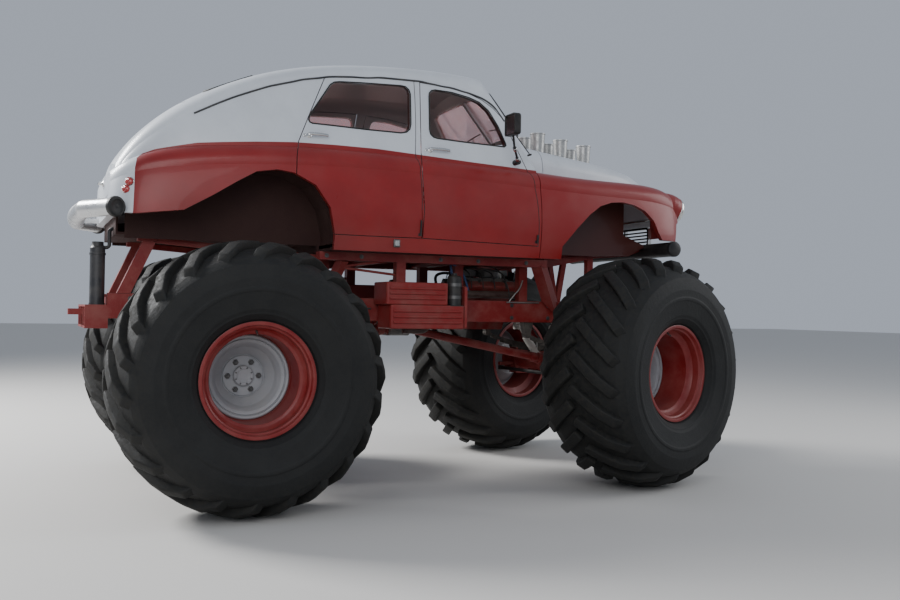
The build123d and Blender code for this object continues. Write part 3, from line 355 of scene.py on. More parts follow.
finish = {
    "body": newFinish("twoToneBody", redPaint, 0.33, dust=0.06, patch=2.2, bump=0.0002, clearCoat=0.12,
        shadeOf=twoToneShade, specular=0.4),
    "wing": newFinish("redWingPaint", redPaint, 0.33, dust=0.07, patch=2.6, bump=0.0002, clearCoat=0.12,
        shadeOf=wingTones, specular=0.4),
    "white": newFinish("whitePanelPaint", bodyPaintAndShade["white"], 0.33, dust=0.07, patch=2.4, bump=0.0002,
        clearCoat=0.12),
    "frame": newFinish("redFramePaint", (0.22, 0.013, 0.012), 0.45, dust=0.26, patch=7.0, bump=0.0009,
        specular=0.4),
    "boxes": newFinish("ribbedBoxPaint", (0.23, 0.013, 0.012), 0.42, dust=0.22, patch=7.0, bump=0.0009,
        shadeOf=boxTones, specular=0.4),
    "stack": newFinish("brushedAlloy", (0.42, 0.42, 0.41), 0.34, dust=0.1, patch=26.0, metallic=0.55,
        shadeOf=stackTones),
    "grille": newFinish("grilleChrome", (0.6, 0.6, 0.59), 0.18, dust=0.12, patch=8.0, metallic=0.9,
        bump=0.0002, shadeOf=grilleTones),
    "engine": newFinish("engineCastings", (0.21, 0.014, 0.012), 0.38, dust=0.3, patch=12.0, bump=0.0012,
        shadeOf=engineTones),
    "black": newFinish("satinBlackPaint", (0.012, 0.012, 0.013), 0.46, dust=0.12, patch=9.0, specular=0.35),
    "grey": newFinish("darkGreyPaint", (0.026, 0.027, 0.031), 0.4, dust=0.2, patch=9.0),
    "spring": newFinish("springSteel", (0.05, 0.045, 0.042), 0.5, dust=0.5, patch=14.0, metallic=0.4),
    "steel": newFinish("zincSteel", (0.42, 0.41, 0.39), 0.36, dust=0.25, patch=20.0, metallic=0.85),
    "chrome": newFinish("wornChrome", (0.74, 0.74, 0.73), 0.1, dust=0.1, patch=8.0, metallic=1.0,
        bump=0.0002),
    "silver": newFinish("silverBumperPaint", (0.56, 0.57, 0.58), 0.24, dust=0.18, patch=5.0, metallic=0.55),
    "seal": newFinish("windowRubber", (0.014, 0.014, 0.014), 0.55, dust=0.1, patch=30.0, specular=0.3),
    "vinyl": newFinish("seatVinyl", (0.16, 0.028, 0.024), 0.42, dust=0.12, patch=6.0, grain=320.0,
        bump=0.001),
    "deck": newFinish("floorPaint", (0.04, 0.014, 0.012), 0.7, dust=0.3, patch=4.0, bump=0.0015,
        specular=0.3, dustColour=(0.075, 0.06, 0.05)),
    "plastic": newFinish("wheelRimPlastic", (0.02, 0.02, 0.02), 0.3, dust=0.1),
    "pane": newGlass("smokedPinkGlass", (0.9, 0.3, 0.27), 0.55, through=0.8),
    "mirrorGlass": newFinish("mirrorFace", (0.45, 0.47, 0.5), 0.03, dust=0.05, metallic=1.0),
    "lens": flutedLens("headlampLens", (0.74, 0.75, 0.7), 30.0),
    "greyLens": flutedLens("sillLens", (0.36, 0.37, 0.37), 60.0),
    "amber": flutedLens("parkingLens", (0.7, 0.58, 0.36), 60.0),
    "tail": flutedLens("tailLens", (0.42, 0.012, 0.01), 60.0),
    "rubber": tyreRubber(),
    "rimRed": newFinish("rimRedPaint", (0.205, 0.01, 0.01), 0.36, dust=0.16, patch=6.0, clearCoat=0.1,
        specular=0.4),
    "rimWhite": newFinish("rimWhitePaint", (0.37, 0.385, 0.41), 0.42, dust=0.3, patch=9.0),
    "nut": newFinish("darkNutSteel", (0.12, 0.12, 0.12), 0.35, dust=0.2, metallic=0.7),
    "hose": newFinish("blackHose", (0.022, 0.023, 0.026), 0.5, dust=0.3, patch=18.0),
    "blueHose": newFinish("blueHose", (0.04, 0.1, 0.26), 0.4, dust=0.2, patch=18.0),
    "alloy": newFinish("castAlloy", (0.4, 0.39, 0.37), 0.45, dust=0.35, patch=22.0, metallic=0.6,
        bump=0.0014),
    "damper": newFinish("damperPaint", (0.55, 0.54, 0.5), 0.4, dust=0.35, patch=12.0),
}


# Piece helpers
def selectAll():
    bpy.ops.mesh.select_all(action="SELECT")


def enterEdit():
    bpy.ops.object.mode_set(mode="EDIT")


def leaveEdit():
    bpy.ops.object.mode_set(mode="OBJECT")


def deselectAll():
    if bpy.context.object and bpy.context.object.mode == "EDIT":
        leaveEdit()
    bpy.ops.object.select_all(action="DESELECT")


def setActive(obj):
    deselectAll()
    obj.select_set(True)
    bpy.context.view_layer.objects.active = obj


def settle(obj):
    setActive(obj)
    bpy.ops.object.transform_apply(location=True, rotation=True, scale=True)


def moveBy(obj, matrix):
    obj.data.transform(matrix)
    if matrix.determinant() < 0:
        obj.data.flip_normals()


def shift(obj, place):
    moveBy(obj, Matrix.Translation(place))


def selectFaces(obj, test):
    setActive(obj)
    for vertex in obj.data.vertices:
        vertex.select = False
    for edge in obj.data.edges:
        edge.select = False
    for face in obj.data.polygons:
        face.select = bool(test(face))
    enterEdit()
    bpy.ops.mesh.select_mode(type="FACE")


def copyOf(obj, name):
    other = obj.copy()
    other.data = obj.data.copy()
    other.name = name
    bpy.context.scene.collection.objects.link(other)
    return other


def joinPieces(pieces, name):
    deselectAll()
    for piece in pieces:
        piece.select_set(True)
    bpy.context.view_layer.objects.active = pieces[0]
    if len(pieces) > 1:
        bpy.ops.object.join()
    pieces[0].name = name
    return pieces[0]


def paint(obj, *materials):
    obj.data.materials.clear()
    for mat in materials:
        obj.data.materials.append(mat)


def smooth(obj, angle=35):
    setActive(obj)
    bpy.ops.object.shade_smooth_by_angle(angle=radians(angle))


def fit(obj, name, body, replaced=()):
    obj.name = name
    obj.data.name = name
    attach(obj, body)
    if replaced:
        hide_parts(*replaced)
    return obj


def dress(obj, key, name, body="chassis", angle=None):
    # a piece's finish, its smoothing where it has edges, and the body that carries it
    if angle:
        smooth(obj, angle)
    paint(obj, finish[key])
    return fit(obj, name, body)


def outlineMesh(points, closed=True):
    # a row of edges, drawn point by point from one vertex
    bpy.ops.mesh.primitive_plane_add(size=0.01, location=(0, 0, 0))
    obj = bpy.context.object
    enterEdit()
    bpy.ops.mesh.select_mode(type="VERT")
    selectAll()
    bpy.ops.mesh.merge(type="CENTER")
    bpy.ops.transform.translate(value=points[0])
    for start, end in zip(points, points[1:] + points[:1] if closed else points[1:]):
        step = tuple(b - a for a, b in zip(start, end))
        bpy.ops.mesh.extrude_region_move(TRANSFORM_OT_translate={"value": step})
    if closed:
        selectAll()
        bpy.ops.mesh.remove_doubles(threshold=0.00005)
    return obj


def turnedPiece(section, axis=(0, 0, 1), steps=32, rounding=0.0, closed=False, place=None):
    # section: radius and height pairs about the axis, which is Z or Y
    points = [(r, 0.0, h) if axis[2] else (r, h, 0.0) for r, h in section]
    obj = outlineMesh(points, closed)
    selectAll()
    if rounding:
        bpy.ops.mesh.bevel(offset=rounding, segments=2, affect="VERTICES", clamp_overlap=True)
        selectAll()
    bpy.ops.mesh.spin(steps=steps, angle=2 * pi, center=(0, 0, 0), axis=axis)
    selectAll()
    bpy.ops.mesh.remove_doubles(threshold=0.00004)
    bpy.ops.mesh.normals_make_consistent(inside=False)
    leaveEdit()
    if place:
        moveBy(obj, place)
    return obj


def plate(points, thickness, bevel=0.0, segments=2):
    # points in the XZ plane, extruded along Y about the middle
    obj = outlineMesh([(x, -thickness / 2, z) for x, z in points])
    selectAll()
    bpy.ops.mesh.edge_face_add()
    bpy.ops.mesh.extrude_region_move(TRANSFORM_OT_translate={"value": (0, thickness, 0)})
    selectAll()
    bpy.ops.mesh.normals_make_consistent(inside=False)
    if bevel:
        selectAll()
        bpy.ops.mesh.bevel(offset=bevel, segments=segments, affect="EDGES", clamp_overlap=True)
    leaveEdit()
    return obj


def openCube(low, high):
    # a cube between two corners, with its mesh open and selected, and its middle and size
    middle = [(a + b) / 2 for a, b in zip(low, high)]
    size = [b - a for a, b in zip(low, high)]
    bpy.ops.mesh.primitive_cube_add(size=1, location=middle, scale=size)
    obj = bpy.context.object
    settle(obj)
    enterEdit()
    selectAll()
    return obj, middle, size


def block(low, high, bevel=0.004, segments=2):
    obj, middle, size = openCube(low, high)
    bpy.ops.mesh.bevel(offset=bevel, segments=segments, affect="EDGES")
    leaveEdit()
    return obj


def tube(points, radius, closed=False, smoothLine=False):
    data = bpy.data.curves.new("line", "CURVE")
    data.dimensions = "3D"
    spline = data.splines.new("NURBS" if smoothLine else "POLY")
    spline.points.add(len(points) - 1)
    for point, place in zip(spline.points, points):
        point.co = (*place, 1)
    spline.use_cyclic_u = closed
    if smoothLine:
        spline.order_u = 3
        spline.use_endpoint_u = not closed
        spline.resolution_u = 6
    data.bevel_depth = radius
    data.bevel_resolution = 3
    data.use_fill_caps = True
    obj = bpy.data.objects.new("line", data)
    bpy.context.scene.collection.objects.link(obj)
    setActive(obj)
    bpy.ops.object.convert(target="MESH")
    obj = bpy.context.object
    smooth(obj, 50)
    return obj


def turnTo(direction, place, spin=0.0):
    turn = Vector(direction).to_track_quat("Z", "Y").to_matrix().to_4x4()
    return Matrix.Translation(place) @ turn @ Matrix.Rotation(spin, 4, "Z")


def castOn(node, origin, way=(-1, 0, 0)):
    # where a ray meets a CAD node, and the way its surface looks there
    hit, place, normal, index = nodes[node].ray_cast(origin, Vector(way))
    return (place, normal) if hit else (None, None)


def traced(node, rays, lift):
    # where rays, given by start and way, meet a CAD node, lifted off its surface
    found = [castOn(node, start, way) for start, way in rays]
    return [place + normal * lift for place, normal in found if place]


def skinPoint(node, x, z, side=-1, lift=0.0):
    # the point of a body panel at x, z, seen from that side, and the way its surface looks
    origin = at(x, side * 1.3, z)
    place, normal = castOn(node, origin, (0, -side, 0))
    if not place:
        return None, None
    if normal.y * side < 0:
        normal = -normal
    return place + normal * lift, normal


def prism(corners, radius, height, z):
    bpy.ops.mesh.primitive_cylinder_add(vertices=corners, radius=radius, depth=height, location=(0, 0, z))
    settle(bpy.context.object)
    return bpy.context.object


def hexBolt(radius=0.012, height=0.009):
    bolt = prism(6, radius, height, height / 2)
    selectFaces(bolt, lambda face: face.normal.z > 0.9)
    bpy.ops.mesh.inset(thickness=radius * 0.42, depth=0)
    bpy.ops.mesh.extrude_region_move(TRANSFORM_OT_translate={"value": (0, 0, radius * 0.45)})
    leaveEdit()
    washer = prism(12, radius * 1.45, radius * 0.2, radius * 0.08)
    return joinPieces([bolt, washer], "bolt")


def boltRow(name, body, places, mat, radius=0.012):
    first = hexBolt(radius)
    made = []
    for place, direction in places:
        other = copyOf(first, "bolt")
        moveBy(other, turnTo(direction, place, len(made) * 0.7))
        made.append(other)
    bpy.data.objects.remove(first)
    row = joinPieces(made, name)
    paint(row, mat)
    return fit(row, name, body)


# Wheels
wheel = {
    "trackY": 1.04,
    "kingpinY": 0.78,
    "steer": 18.0,
    "tyreSection": ((0.338, 0.304), (0.354, 0.304), (0.359, 0.322), (0.384, 0.344), (0.391, 0.352),
        (0.402, 0.354), (0.42, 0.365), (0.52, 0.381), (0.526, 0.386), (0.545, 0.388), (0.552, 0.384),
        (0.6, 0.389), (0.684, 0.372), (0.726, 0.322), (0.766, 0.216), (0.788, 0.08)),
    "rimScale": 0.96,
    "rimSection": ((0.34, 0.314), (0.362, 0.314), (0.362, 0.306), (0.351, 0.306), (0.351, 0.232),
        (0.296, 0.205), (0.296, -0.205), (0.351, -0.232), (0.351, -0.306), (0.362, -0.306), (0.362, -0.314),
        (0.335, -0.314), (0.335, -0.24), (0.282, -0.215), (0.282, -0.02), (0.262, -0.02), (0.246, -0.034),
        (0.15, -0.166), (0.042, -0.166), (0.042, -0.133), (0.13, -0.133), (0.133, -0.145), (0.14, -0.145),
        (0.143, -0.131), (0.192, -0.078), (0.202, -0.05), (0.221, -0.014), (0.236, -0.004), (0.242, -0.004),
        (0.244, -0.012), (0.248, -0.012), (0.251, 0.004), (0.262, 0.007), (0.27, 0.002), (0.273, -0.012),
        (0.282, -0.012), (0.282, 0.205), (0.3, 0.214), (0.322, 0.236), (0.322, 0.284), (0.334, 0.29)),
    "lugs": 22,
    "lugSweep": 38.0,
    "lugHalf": 0.038,
    "lugOutline": ((0.005, 0.8373), (0.15, 0.8265), (0.278, 0.801), (0.393, 0.731), (0.418, 0.652),
        (0.3, 0.688), (0.005, 0.752)),
}


def makeTyre():
    spec = wheel
    half = spec["tyreSection"]
    section = half + tuple((r, -y) for r, y in reversed(half))
    carcass = turnedPiece(section, axis=(0, 1, 0), steps=96, rounding=0.01, closed=True)
    sweep = radians(spec["lugSweep"])
    lead = 0.005 * sin(sweep) + spec["lugHalf"] * cos(sweep)
    phase = lead / spec["lugOutline"][0][1]
    pieces = [carcass]
    bar = plate(spec["lugOutline"], 2 * spec["lugHalf"], bevel=0.011, segments=3)
    for side in (-1, 1):
        # the bar leans back from the middle of the tread to the shoulder
        aim = Matrix.Rotation(side * (pi / 2 + sweep), 4, "Z")
        for k in range(spec["lugs"]):
            turn = 2 * pi / spec["lugs"] * (k + (0.5 if side > 0 else 0)) + phase
            lug = copyOf(bar, "lug")
            moveBy(lug, Matrix.Rotation(turn, 4, "Y") @ aim)
            pieces.append(lug)
    bpy.data.objects.remove(bar)
    tyre = joinPieces(pieces, "tyre")
    worn = tyre.data.attributes.new("treadWear", "FLOAT", "POINT")
    for vertex in tyre.data.vertices:
        radius = hypot(vertex.co.x, vertex.co.z)
        worn.data[vertex.index].value = min(max((radius - 0.62) / 0.2, 0.0), 1.0)
    paint(tyre, finish["rubber"])
    smooth(tyre, 40)
    return tyre


def makeRim():
    spec = wheel
    rim = turnedPiece(spec["rimSection"], steps=96, rounding=0.004, closed=True)
    paint(rim, finish["rimRed"], finish["rimWhite"], finish["nut"])
    for face in rim.data.polygons:
        radius = hypot(face.center.x, face.center.y)
        if radius < 0.274 and face.center.z < 0.0085:
            face.material_index = 1
    cap = turnedPiece(((0, -0.133), (0.066, -0.133), (0.066, -0.114), (0.06, -0.108), (0.044, -0.108),
        (0.041, -0.112), (0.018, -0.112), (0, -0.11)), steps=40, rounding=0.0015)
    paint(cap, finish["rimWhite"])
    pieces = [rim, cap]
    nut = turnedPiece(((0, -0.1335), (0.02, -0.1335), (0.02, -0.13), (0.0165, -0.129), (0.0165, -0.113),
        (0.0125, -0.11), (0.008, -0.11), (0.008, -0.101), (0.006, -0.099), (0, -0.099)), steps=6)
    paint(nut, finish["nut"])
    small = hexBolt(0.0055, 0.005)
    paint(small, finish["nut"])
    for master, number, radius, start, height in ((nut, 6, 0.101, 0, 0), (small, 8, 0.053, 0.5, -0.109)):
        for k in range(number):
            other = copyOf(master, "fastener")
            turn = (k + start) * 2 * pi / number
            shift(other, (radius * cos(turn), radius * sin(turn), height))
            pieces.append(other)
        bpy.data.objects.remove(master)
    valve = turnedPiece(((0, 0), (0.007, 0.0), (0.007, 0.018), (0.0045, 0.022), (0.0045, 0.04),
        (0, 0.042)), steps=12)
    paint(valve, finish["nut"])
    moveBy(valve, Matrix.Translation((0.0, 0.3, 0.222)) @ Matrix.Rotation(radians(35), 4, "X"))
    pieces.append(valve)
    rim = joinPieces(pieces, "rim")
    moveBy(rim, Matrix.Diagonal((spec["rimScale"], spec["rimScale"], 1, 1)))
    smooth(rim, 32)
    return rim


def addWheels():
    tyre, rim = makeTyre(), makeRim()
    spec = wheel
    for end, x in (("front", frontAxleX), ("rear", rearAxleX)):
        for side, name in sides:
            hub = Matrix.Translation(at(x, side * spec["trackY"], hubZ))
            if end == "front":
                pin = Matrix.Translation(at(x, side * spec["kingpinY"], 0))
                steer = pin @ Matrix.Rotation(radians(spec["steer"]), 4, "Z") @ pin.inverted()
                hub = steer @ hub
            outward = hub @ Matrix.Rotation(-side * pi / 2, 4, "X")
            corner = f"{end}_{name}"
            for master, kind, word, slot, place in ((tyre, "tyre", "luggedTyre", "tyre", hub),
                    (rim, "rim", "deepRim", "rim_paint", outward)):
                piece = copyOf(master, kind)
                moveBy(piece, place)
                fit(piece, f"{word}_{corner}", f"wheel_{corner}", [f"{kind}_{corner}"])
    bpy.data.objects.remove(tyre)
    bpy.data.objects.remove(rim)


# CAD nodes that keep their shape get their finish here
nodeFinish = {
    "body": ("body_shell", "door_front_right", "door_front_left", "door_rear_right", "door_rear_left"),
    "wing": ("front_wings",),
    "white": ("bonnet", "boot_lid"),
    "stack": ("intake_stacks",),
    "grille": ("grille_panel",),
    "pane": ("window_glass", "door_glass_front_left", "door_glass_rear_left"),
    "deck": ("floor_pan",),
    "vinyl": ("seats",),
    "plastic": ("steering_wheel",),
    "black": ("mirror_right", "mirror_left", "front_bumper", "tie_rod"),
    "silver": ("rear_bumper",),
    "chrome": ("headlamps",),
    "tail": ("tail_lamps",),
    "frame": ("chassis_frame", "body_supports", "front_axle", "rear_axle", "propshafts", "knuckle_right",
        "knuckle_left"),
    "grey": ("rear_cylinder",),
    "engine": ("engine",),
    "boxes": ("side_boxes",),
    "spring": ("leaf_springs",),
    "damper": ("shock_absorbers",),
}


def finishNodes():
    for key, names in nodeFinish.items():
        for name in names:
            paint(nodes[name], finish[key])


# Body trim: rubber window seals, drip rails, handles, hinges and lamps on the skin
trim = {
    "frontWindow": ((-0.095, 2.476), (0.43, 2.463), (0.446, 2.474), (0.444, 2.488), (0.396, 2.612),
        (0.331, 2.723), (0.263, 2.778), (0.184, 2.804), (0.05, 2.828), (-0.075, 2.833), (-0.104, 2.825),
        (-0.123, 2.804), (-0.129, 2.774), (-0.15, 2.535), (-0.144, 2.5), (-0.124, 2.482)),
    "rearWindow": ((-0.992, 2.5), (-0.38, 2.49), (-0.338, 2.499), (-0.312, 2.522), (-0.301, 2.556),
        (-0.282, 2.782), (-0.29, 2.814), (-0.312, 2.832), (-0.345, 2.836), (-0.785, 2.813), (-0.822, 2.806),
        (-0.85, 2.786), (-0.993, 2.578), (-1.012, 2.544), (-1.016, 2.52), (-1.009, 2.506)),
    "screenHalf": ((0.018, 2.612), (0.54, 2.6), (0.56, 2.64), (0.49, 2.88), (0.44, 2.905), (0.018, 2.922)),
    "sealRadius": 0.0052,
    "dripRail": ((-1.771, 2.537), (-1.521, 2.654), (-1.272, 2.753), (-1.055, 2.815), (-0.874, 2.85),
        (-0.499, 2.892), (-0.182, 2.898), (0.037, 2.88), (0.189, 2.853), (0.295, 2.826), (0.402, 2.769),
        (0.495, 2.68)),
    # lock x, lever end x, z
    "handles": {"front": (-0.194, -0.022, 2.382), "rear": (-1.056, -0.902, 2.411)},
    # x, z below, z above
    "lowHinges": {"front": (0.674, 1.762, 1.822), "rear": (-0.247, 1.772, 1.88)},
    "sillLamp": (-0.43, 1.727),
    "bootHandleZ": 2.09,
    "rearScreen": (-1.48, 0, 2.79),
    "rearScreenHalf": (0.075, 0.31),  # up the slope and across, to the corners' centres
    "rearScreenCorner": 0.096,
    "headlamp": (1.995, 0.56, 2.129),
    "headlampTilt": 108,
    "parkingLamp": (2.6, 0.575, 1.912),
    "tailLamps": ((-2.146, 0.688, 2.031), (-2.163, 0.682, 1.984)),
    "tailWay": (-0.42, 0.9, 0.08),
    "screenPost": (2.606, 0.04, 9),  # lowest point, pitch, count
    "wiperPivot": (2.0, 0.3, 2.572),
    "wiperBlade": ((0.08, 2.7), (0.18, 2.69), (0.28, 2.678), (0.38, 2.665)),
    "mirrorFace": (0.3515, 0.9825, 2.571),
    "mirrorArm": ((0.486, 0.85, 2.338), (0.404, 0.946, 2.424)),
    "rearBumperEnd": (-2.238, 0.752, 1.866),
    "rearBumperWay": (152, 240, 0),
    "frontBumperEnd": (1.945, 0.76, 1.775),
}


def finerOutline(points, step=0.05, closed=True):
    made = []
    ends = points[1:] + points[:1] if closed else points[1:]
    for (x0, z0), (x1, z1) in zip(points, ends):
        count = max(1, round(hypot(x1 - x0, z1 - z0) / step))
        made += [(x0 + (x1 - x0) * k / count, z0 + (z1 - z0) * k / count) for k in range(count)]
    return made if closed else made + [points[-1]]


def pushedOut(points, distance):
    middleX = sum(x for x, z in points) / len(points)
    middleZ = sum(z for x, z in points) / len(points)
    made = []
    for x, z in points:
        away = Vector((x - middleX, z - middleZ)).normalized() * distance
        made.append((x + away.x, z + away.y))
    return made


def addWindowSeals():
    for side, word in sides:
        for window in ("front", "rear"):
            outline = finerOutline(trim[window + "Window"])
            node = f"door_{window}_{word}"
            places = [skinPoint(node, x, z, side, 0.001)[0] for x, z in pushedOut(outline, 0.006)]
            seal = tube([p for p in places if p], trim["sealRadius"], closed=True)
            dress(seal, "seal", f"windowSeal_{window}_{word}", node)
        outline = [(side * y, z) for y, z in pushedOut(finerOutline(trim["screenHalf"]), 0.008)]
        rays = [(Vector((2.0, y, z)), (-1, 0, 0)) for y, z in outline]
        seal = tube(traced("body_shell", rays, 0.001), 0.009, closed=True)
        dress(seal, "seal", f"screenSeal_{word}")
    slope, out = Vector((-0.45, 0, -0.21)).normalized(), Vector((-0.21, 0, 0.45)).normalized()
    rays = []
    middle, corner = at(*trim["rearScreen"]), trim["rearScreenCorner"]
    halfX, halfY = trim["rearScreenHalf"]
    for quarter, (signX, signY) in enumerate(((1, 1), (-1, 1), (-1, -1), (1, -1))):
        for k in range(7):
            turn = radians(90 * quarter + 15 * k)
            across = Vector((0, signY * halfY + corner * sin(turn), 0))
            flat = middle + slope * (signX * halfX + corner * cos(turn)) + across
            rays.append((flat + out * 0.5, -out))
    seal = tube(traced("body_shell", rays, 0.001), 0.009, closed=True)
    dress(seal, "seal", "rearScreenSeal")


def addDripRails():
    for side, word in sides:
        places = []
        for x, z in finerOutline(trim["dripRail"], 0.06, closed=False):
            found, place, normal, index = nodes["body_shell"].closest_point_on_mesh(at(x, side * 0.66, z))
            places.append(place + normal * 0.003)
        rail = tube(places, 0.0065, smoothLine=True)
        dress(rail, "grey", f"dripRail_{word}")


def addHandles():
    for side, word in sides:
        for door, (lockX, endX, z) in trim["handles"].items():
            node = f"door_{door}_{word}"
            pivot, out = skinPoint(node, lockX + 0.03, z, side)
            far, outFar = skinPoint(node, endX, z, side)
            rosette = turnedPiece(((0, -0.004), (0.019, -0.004), (0.019, 0.003), (0.014, 0.007),
                (0.01, 0.009), (0.01, 0.03), (0, 0.031)), steps=24, rounding=0.0012, place=turnTo(out, pivot))
            lever = tube([pivot + out * 0.026, pivot.lerp(far, 0.35) + out * 0.031,
                pivot.lerp(far, 0.75) + out * 0.028, far + outFar * 0.02], 0.0085, smoothLine=True)
            for vertex in lever.data.vertices:
                vertex.co.z = z + (vertex.co.z - z) * 1.15
            lockPlace, lockOut = skinPoint(node, lockX, z - 0.002, side)
            lock = turnedPiece(((0, -0.003), (0.011, -0.003), (0.011, 0.004), (0.0075, 0.006),
                (0.007, 0.0045), (0, 0.0045)), steps=20, rounding=0.0008, place=turnTo(lockOut, lockPlace))
            handle = joinPieces([rosette, lever, lock], "handle")
            dress(handle, "chrome", f"doorHandle_{door}_{word}", node, angle=40)
            x, low, high = trim["lowHinges"][door]
            bottom, out = skinPoint(node, x - 0.012, low, side)
            top, outTop = skinPoint(node, x - 0.012, high, side)
            if bottom and top:
                pin = tube([bottom + out * 0.006, top + outTop * 0.006], 0.0065)
                tall = high - low
                leaf = plate(((-0.016, 0.0), (0.01, 0.0), (0.01, tall), (-0.016, tall)), 0.004, bevel=0.001)
                shift(leaf, bottom + out * 0.001)
                hinge = joinPieces([pin, leaf], "hinge")
                dress(hinge, "black", f"lowHinge_{door}_{word}", node)


def addBootHandle():
    place, out = castOn("boot_lid", at(-3.0, 0, trim["bootHandleZ"]), (1, 0, 0))
    stem = turnedPiece(((0, -0.004), (0.024, -0.004), (0.024, 0.003), (0.016, 0.007), (0.011, 0.01),
        (0.01, 0.028), (0, 0.03)), steps=28, rounding=0.0012, place=turnTo(out, place))
    across = Vector((0, 0.055, 0))
    bar = tube([place + out * 0.022 - across, place + out * 0.03 - across * 0.5, place + out * 0.032,
        place + out * 0.03 + across * 0.5, place + out * 0.022 + across], 0.0085, smoothLine=True)
    handle = joinPieces([stem, bar], "handle")
    dress(handle, "chrome", "bootHandle", "boot_lid", angle=40)


def addSmallLamps():
    lampX, lampZ = trim["sillLamp"]
    for side, word in sides:
        place, out = skinPoint("body_shell", lampX, lampZ - 0.012, side)
        if not place:
            place, out = skinPoint(f"door_rear_{word}", lampX, 1.742, side)
        case = block((-0.024, -0.01, -0.027), (0.024, 0.004, 0.027), 0.006)
        lens = block((-0.017, -0.018, -0.02), (0.017, -0.009, 0.02), 0.007)
        for piece, key in ((case, "nut"), (lens, "greyLens")):
            paint(piece, finish[key])
            if side > 0:
                moveBy(piece, Matrix.Rotation(pi, 4, "Z"))
            shift(piece, place)
        lamp = joinPieces([case, lens], "sillLamp")
        fit(lamp, f"sillLamp_{word}", "chassis")
        along = Matrix.Translation(at(*trim["headlamp"], side))
        along @= Matrix.Rotation(radians(trim["headlampTilt"]), 4, "Y")
        lens = turnedPiece(((0, 0.096), (0.099, 0.096), (0.1, 0.108), (0.098, 0.12), (0.091, 0.1315),
            (0.078, 0.1405), (0.06, 0.147), (0.04, 0.151), (0.018, 0.1532), (0, 0.1538)), steps=64,
            rounding=0.0012)
        moveBy(lens, along)
        dress(lens, "lens", f"headlampLens_{word}", angle=40)
        rim = turnedPiece(((0.0985, 0.092), (0.108, 0.0885), (0.1105, 0.0925), (0.1095, 0.104),
            (0.105, 0.1135), (0.0995, 0.1125)), steps=64, rounding=0.002, closed=True, place=along)
        dress(rim, "chrome", f"headlampRim_{word}", angle=40)
        place, normal = castOn("front_wings", at(*trim["parkingLamp"], side))
        if place:
            small = turnedPiece(((0, -0.006), (0.034, -0.006), (0.036, 0.004), (0.032, 0.01),
                (0.026, 0.017), (0.014, 0.023), (0, 0.025)), steps=32, rounding=0.0015,
                place=turnTo(normal, place))
            dress(small, "amber", f"parkingLamp_{word}", angle=40)
        for k, spot in enumerate(trim["tailLamps"]):
            out = Vector((1, side, 1)) * Vector(trim["tailWay"])
            bezel = turnedPiece(((0.0245, -0.008), (0.03, -0.008), (0.0305, 0.006), (0.0275, 0.012),
                (0.0245, 0.01)), steps=32, rounding=0.001, closed=True)
            moveBy(bezel, turnTo(out, at(*spot, side)))
            dress(bezel, "chrome", f"tailBezel_{word}_{k}", angle=40)


def addScreenFittings():
    low, pitch, number = trim["screenPost"]
    rays = [(Vector((2.0, 0, low + k * pitch)), (-1, 0, 0)) for k in range(number)]
    post = tube(traced("body_shell", rays, 0.002), 0.012, smoothLine=True)
    dress(post, "chrome", "screenPost")
    for side, word in sides:
        pivot, out = castOn("body_shell", at(*trim["wiperPivot"], side))
        cap = turnedPiece(((0, -0.004), (0.014, -0.004), (0.014, 0.012), (0.009, 0.02), (0, 0.021)),
            steps=20, rounding=0.001)
        moveBy(cap, turnTo(out, pivot))
        rays = [(at(2.0, side * y, z), (-1, 0, 0)) for y, z in trim["wiperBlade"]]
        blade = traced("window_glass", rays, 0.008)
        rubber = tube(blade, 0.005, smoothLine=True)
        end = blade[1].lerp(blade[2], 0.5)
        bend = pivot.lerp(end, 0.5) + out * 0.024
        arm = tube([pivot + out * 0.014, bend, end + Vector((0.006, 0, 0))], 0.004, smoothLine=True)
        wiper = joinPieces([cap, rubber, arm], "wiper")
        dress(wiper, "black", f"wiper_{word}")
        glass = block((-0.0008, -0.066, -0.0635), (0.0012, 0.066, 0.0635), 0.0006, 1)
        shift(glass, at(*trim["mirrorFace"], side))
        dress(glass, "mirrorGlass", f"mirrorGlass_{word}", f"door_front_{word}")
        clamp = turnedPiece(((0.0085, -0.014), (0.015, -0.014), (0.016, 0.0), (0.015, 0.014),
            (0.0085, 0.014)), steps=24, rounding=0.002, closed=True)
        low, high = (at(*spot, side) for spot in trim["mirrorArm"])
        lower = copyOf(clamp, "clamp")
        moveBy(lower, turnTo(high - low, low.lerp(high, 0.2)))
        moveBy(clamp, turnTo(high - low, low.lerp(high, 0.86)))
        clamps = joinPieces([clamp, lower], "clamps")
        dress(clamps, "chrome", f"mirrorClamps_{word}", f"door_front_{word}", angle=40)
    for side, word in sides:
        stopper = turnedPiece(((0, -0.01), (0.0575, -0.01), (0.062, -0.004), (0.064, 0.006), (0.064, 0.022),
            (0.059, 0.03), (0.044, 0.032), (0.042, 0.027), (0.012, 0.025), (0, 0.027)), steps=48,
            rounding=0.0015)
        out = Vector((1, side, 1)) * Vector(trim["rearBumperWay"])
        moveBy(stopper, turnTo(out, at(*trim["rearBumperEnd"], side)))
        dress(stopper, "black", f"rearBumperEnd_{word}", angle=40)
        end = turnedPiece(((0, -0.004), (0.0592, -0.004), (0.0605, 0), (0.0605, -0.03),
            (0.0592, -0.034), (0.0585, -0.03), (0.0585, 0.0035), (0.045, 0.009), (0.018, 0.012),
            (0, 0.0125)), steps=48)
        moveBy(end, Matrix.Rotation(-side * pi / 2, 4, "X"))
        shift(end, at(*trim["frontBumperEnd"], side))
        dress(end, "black", f"bumperCap_{word}", angle=40)


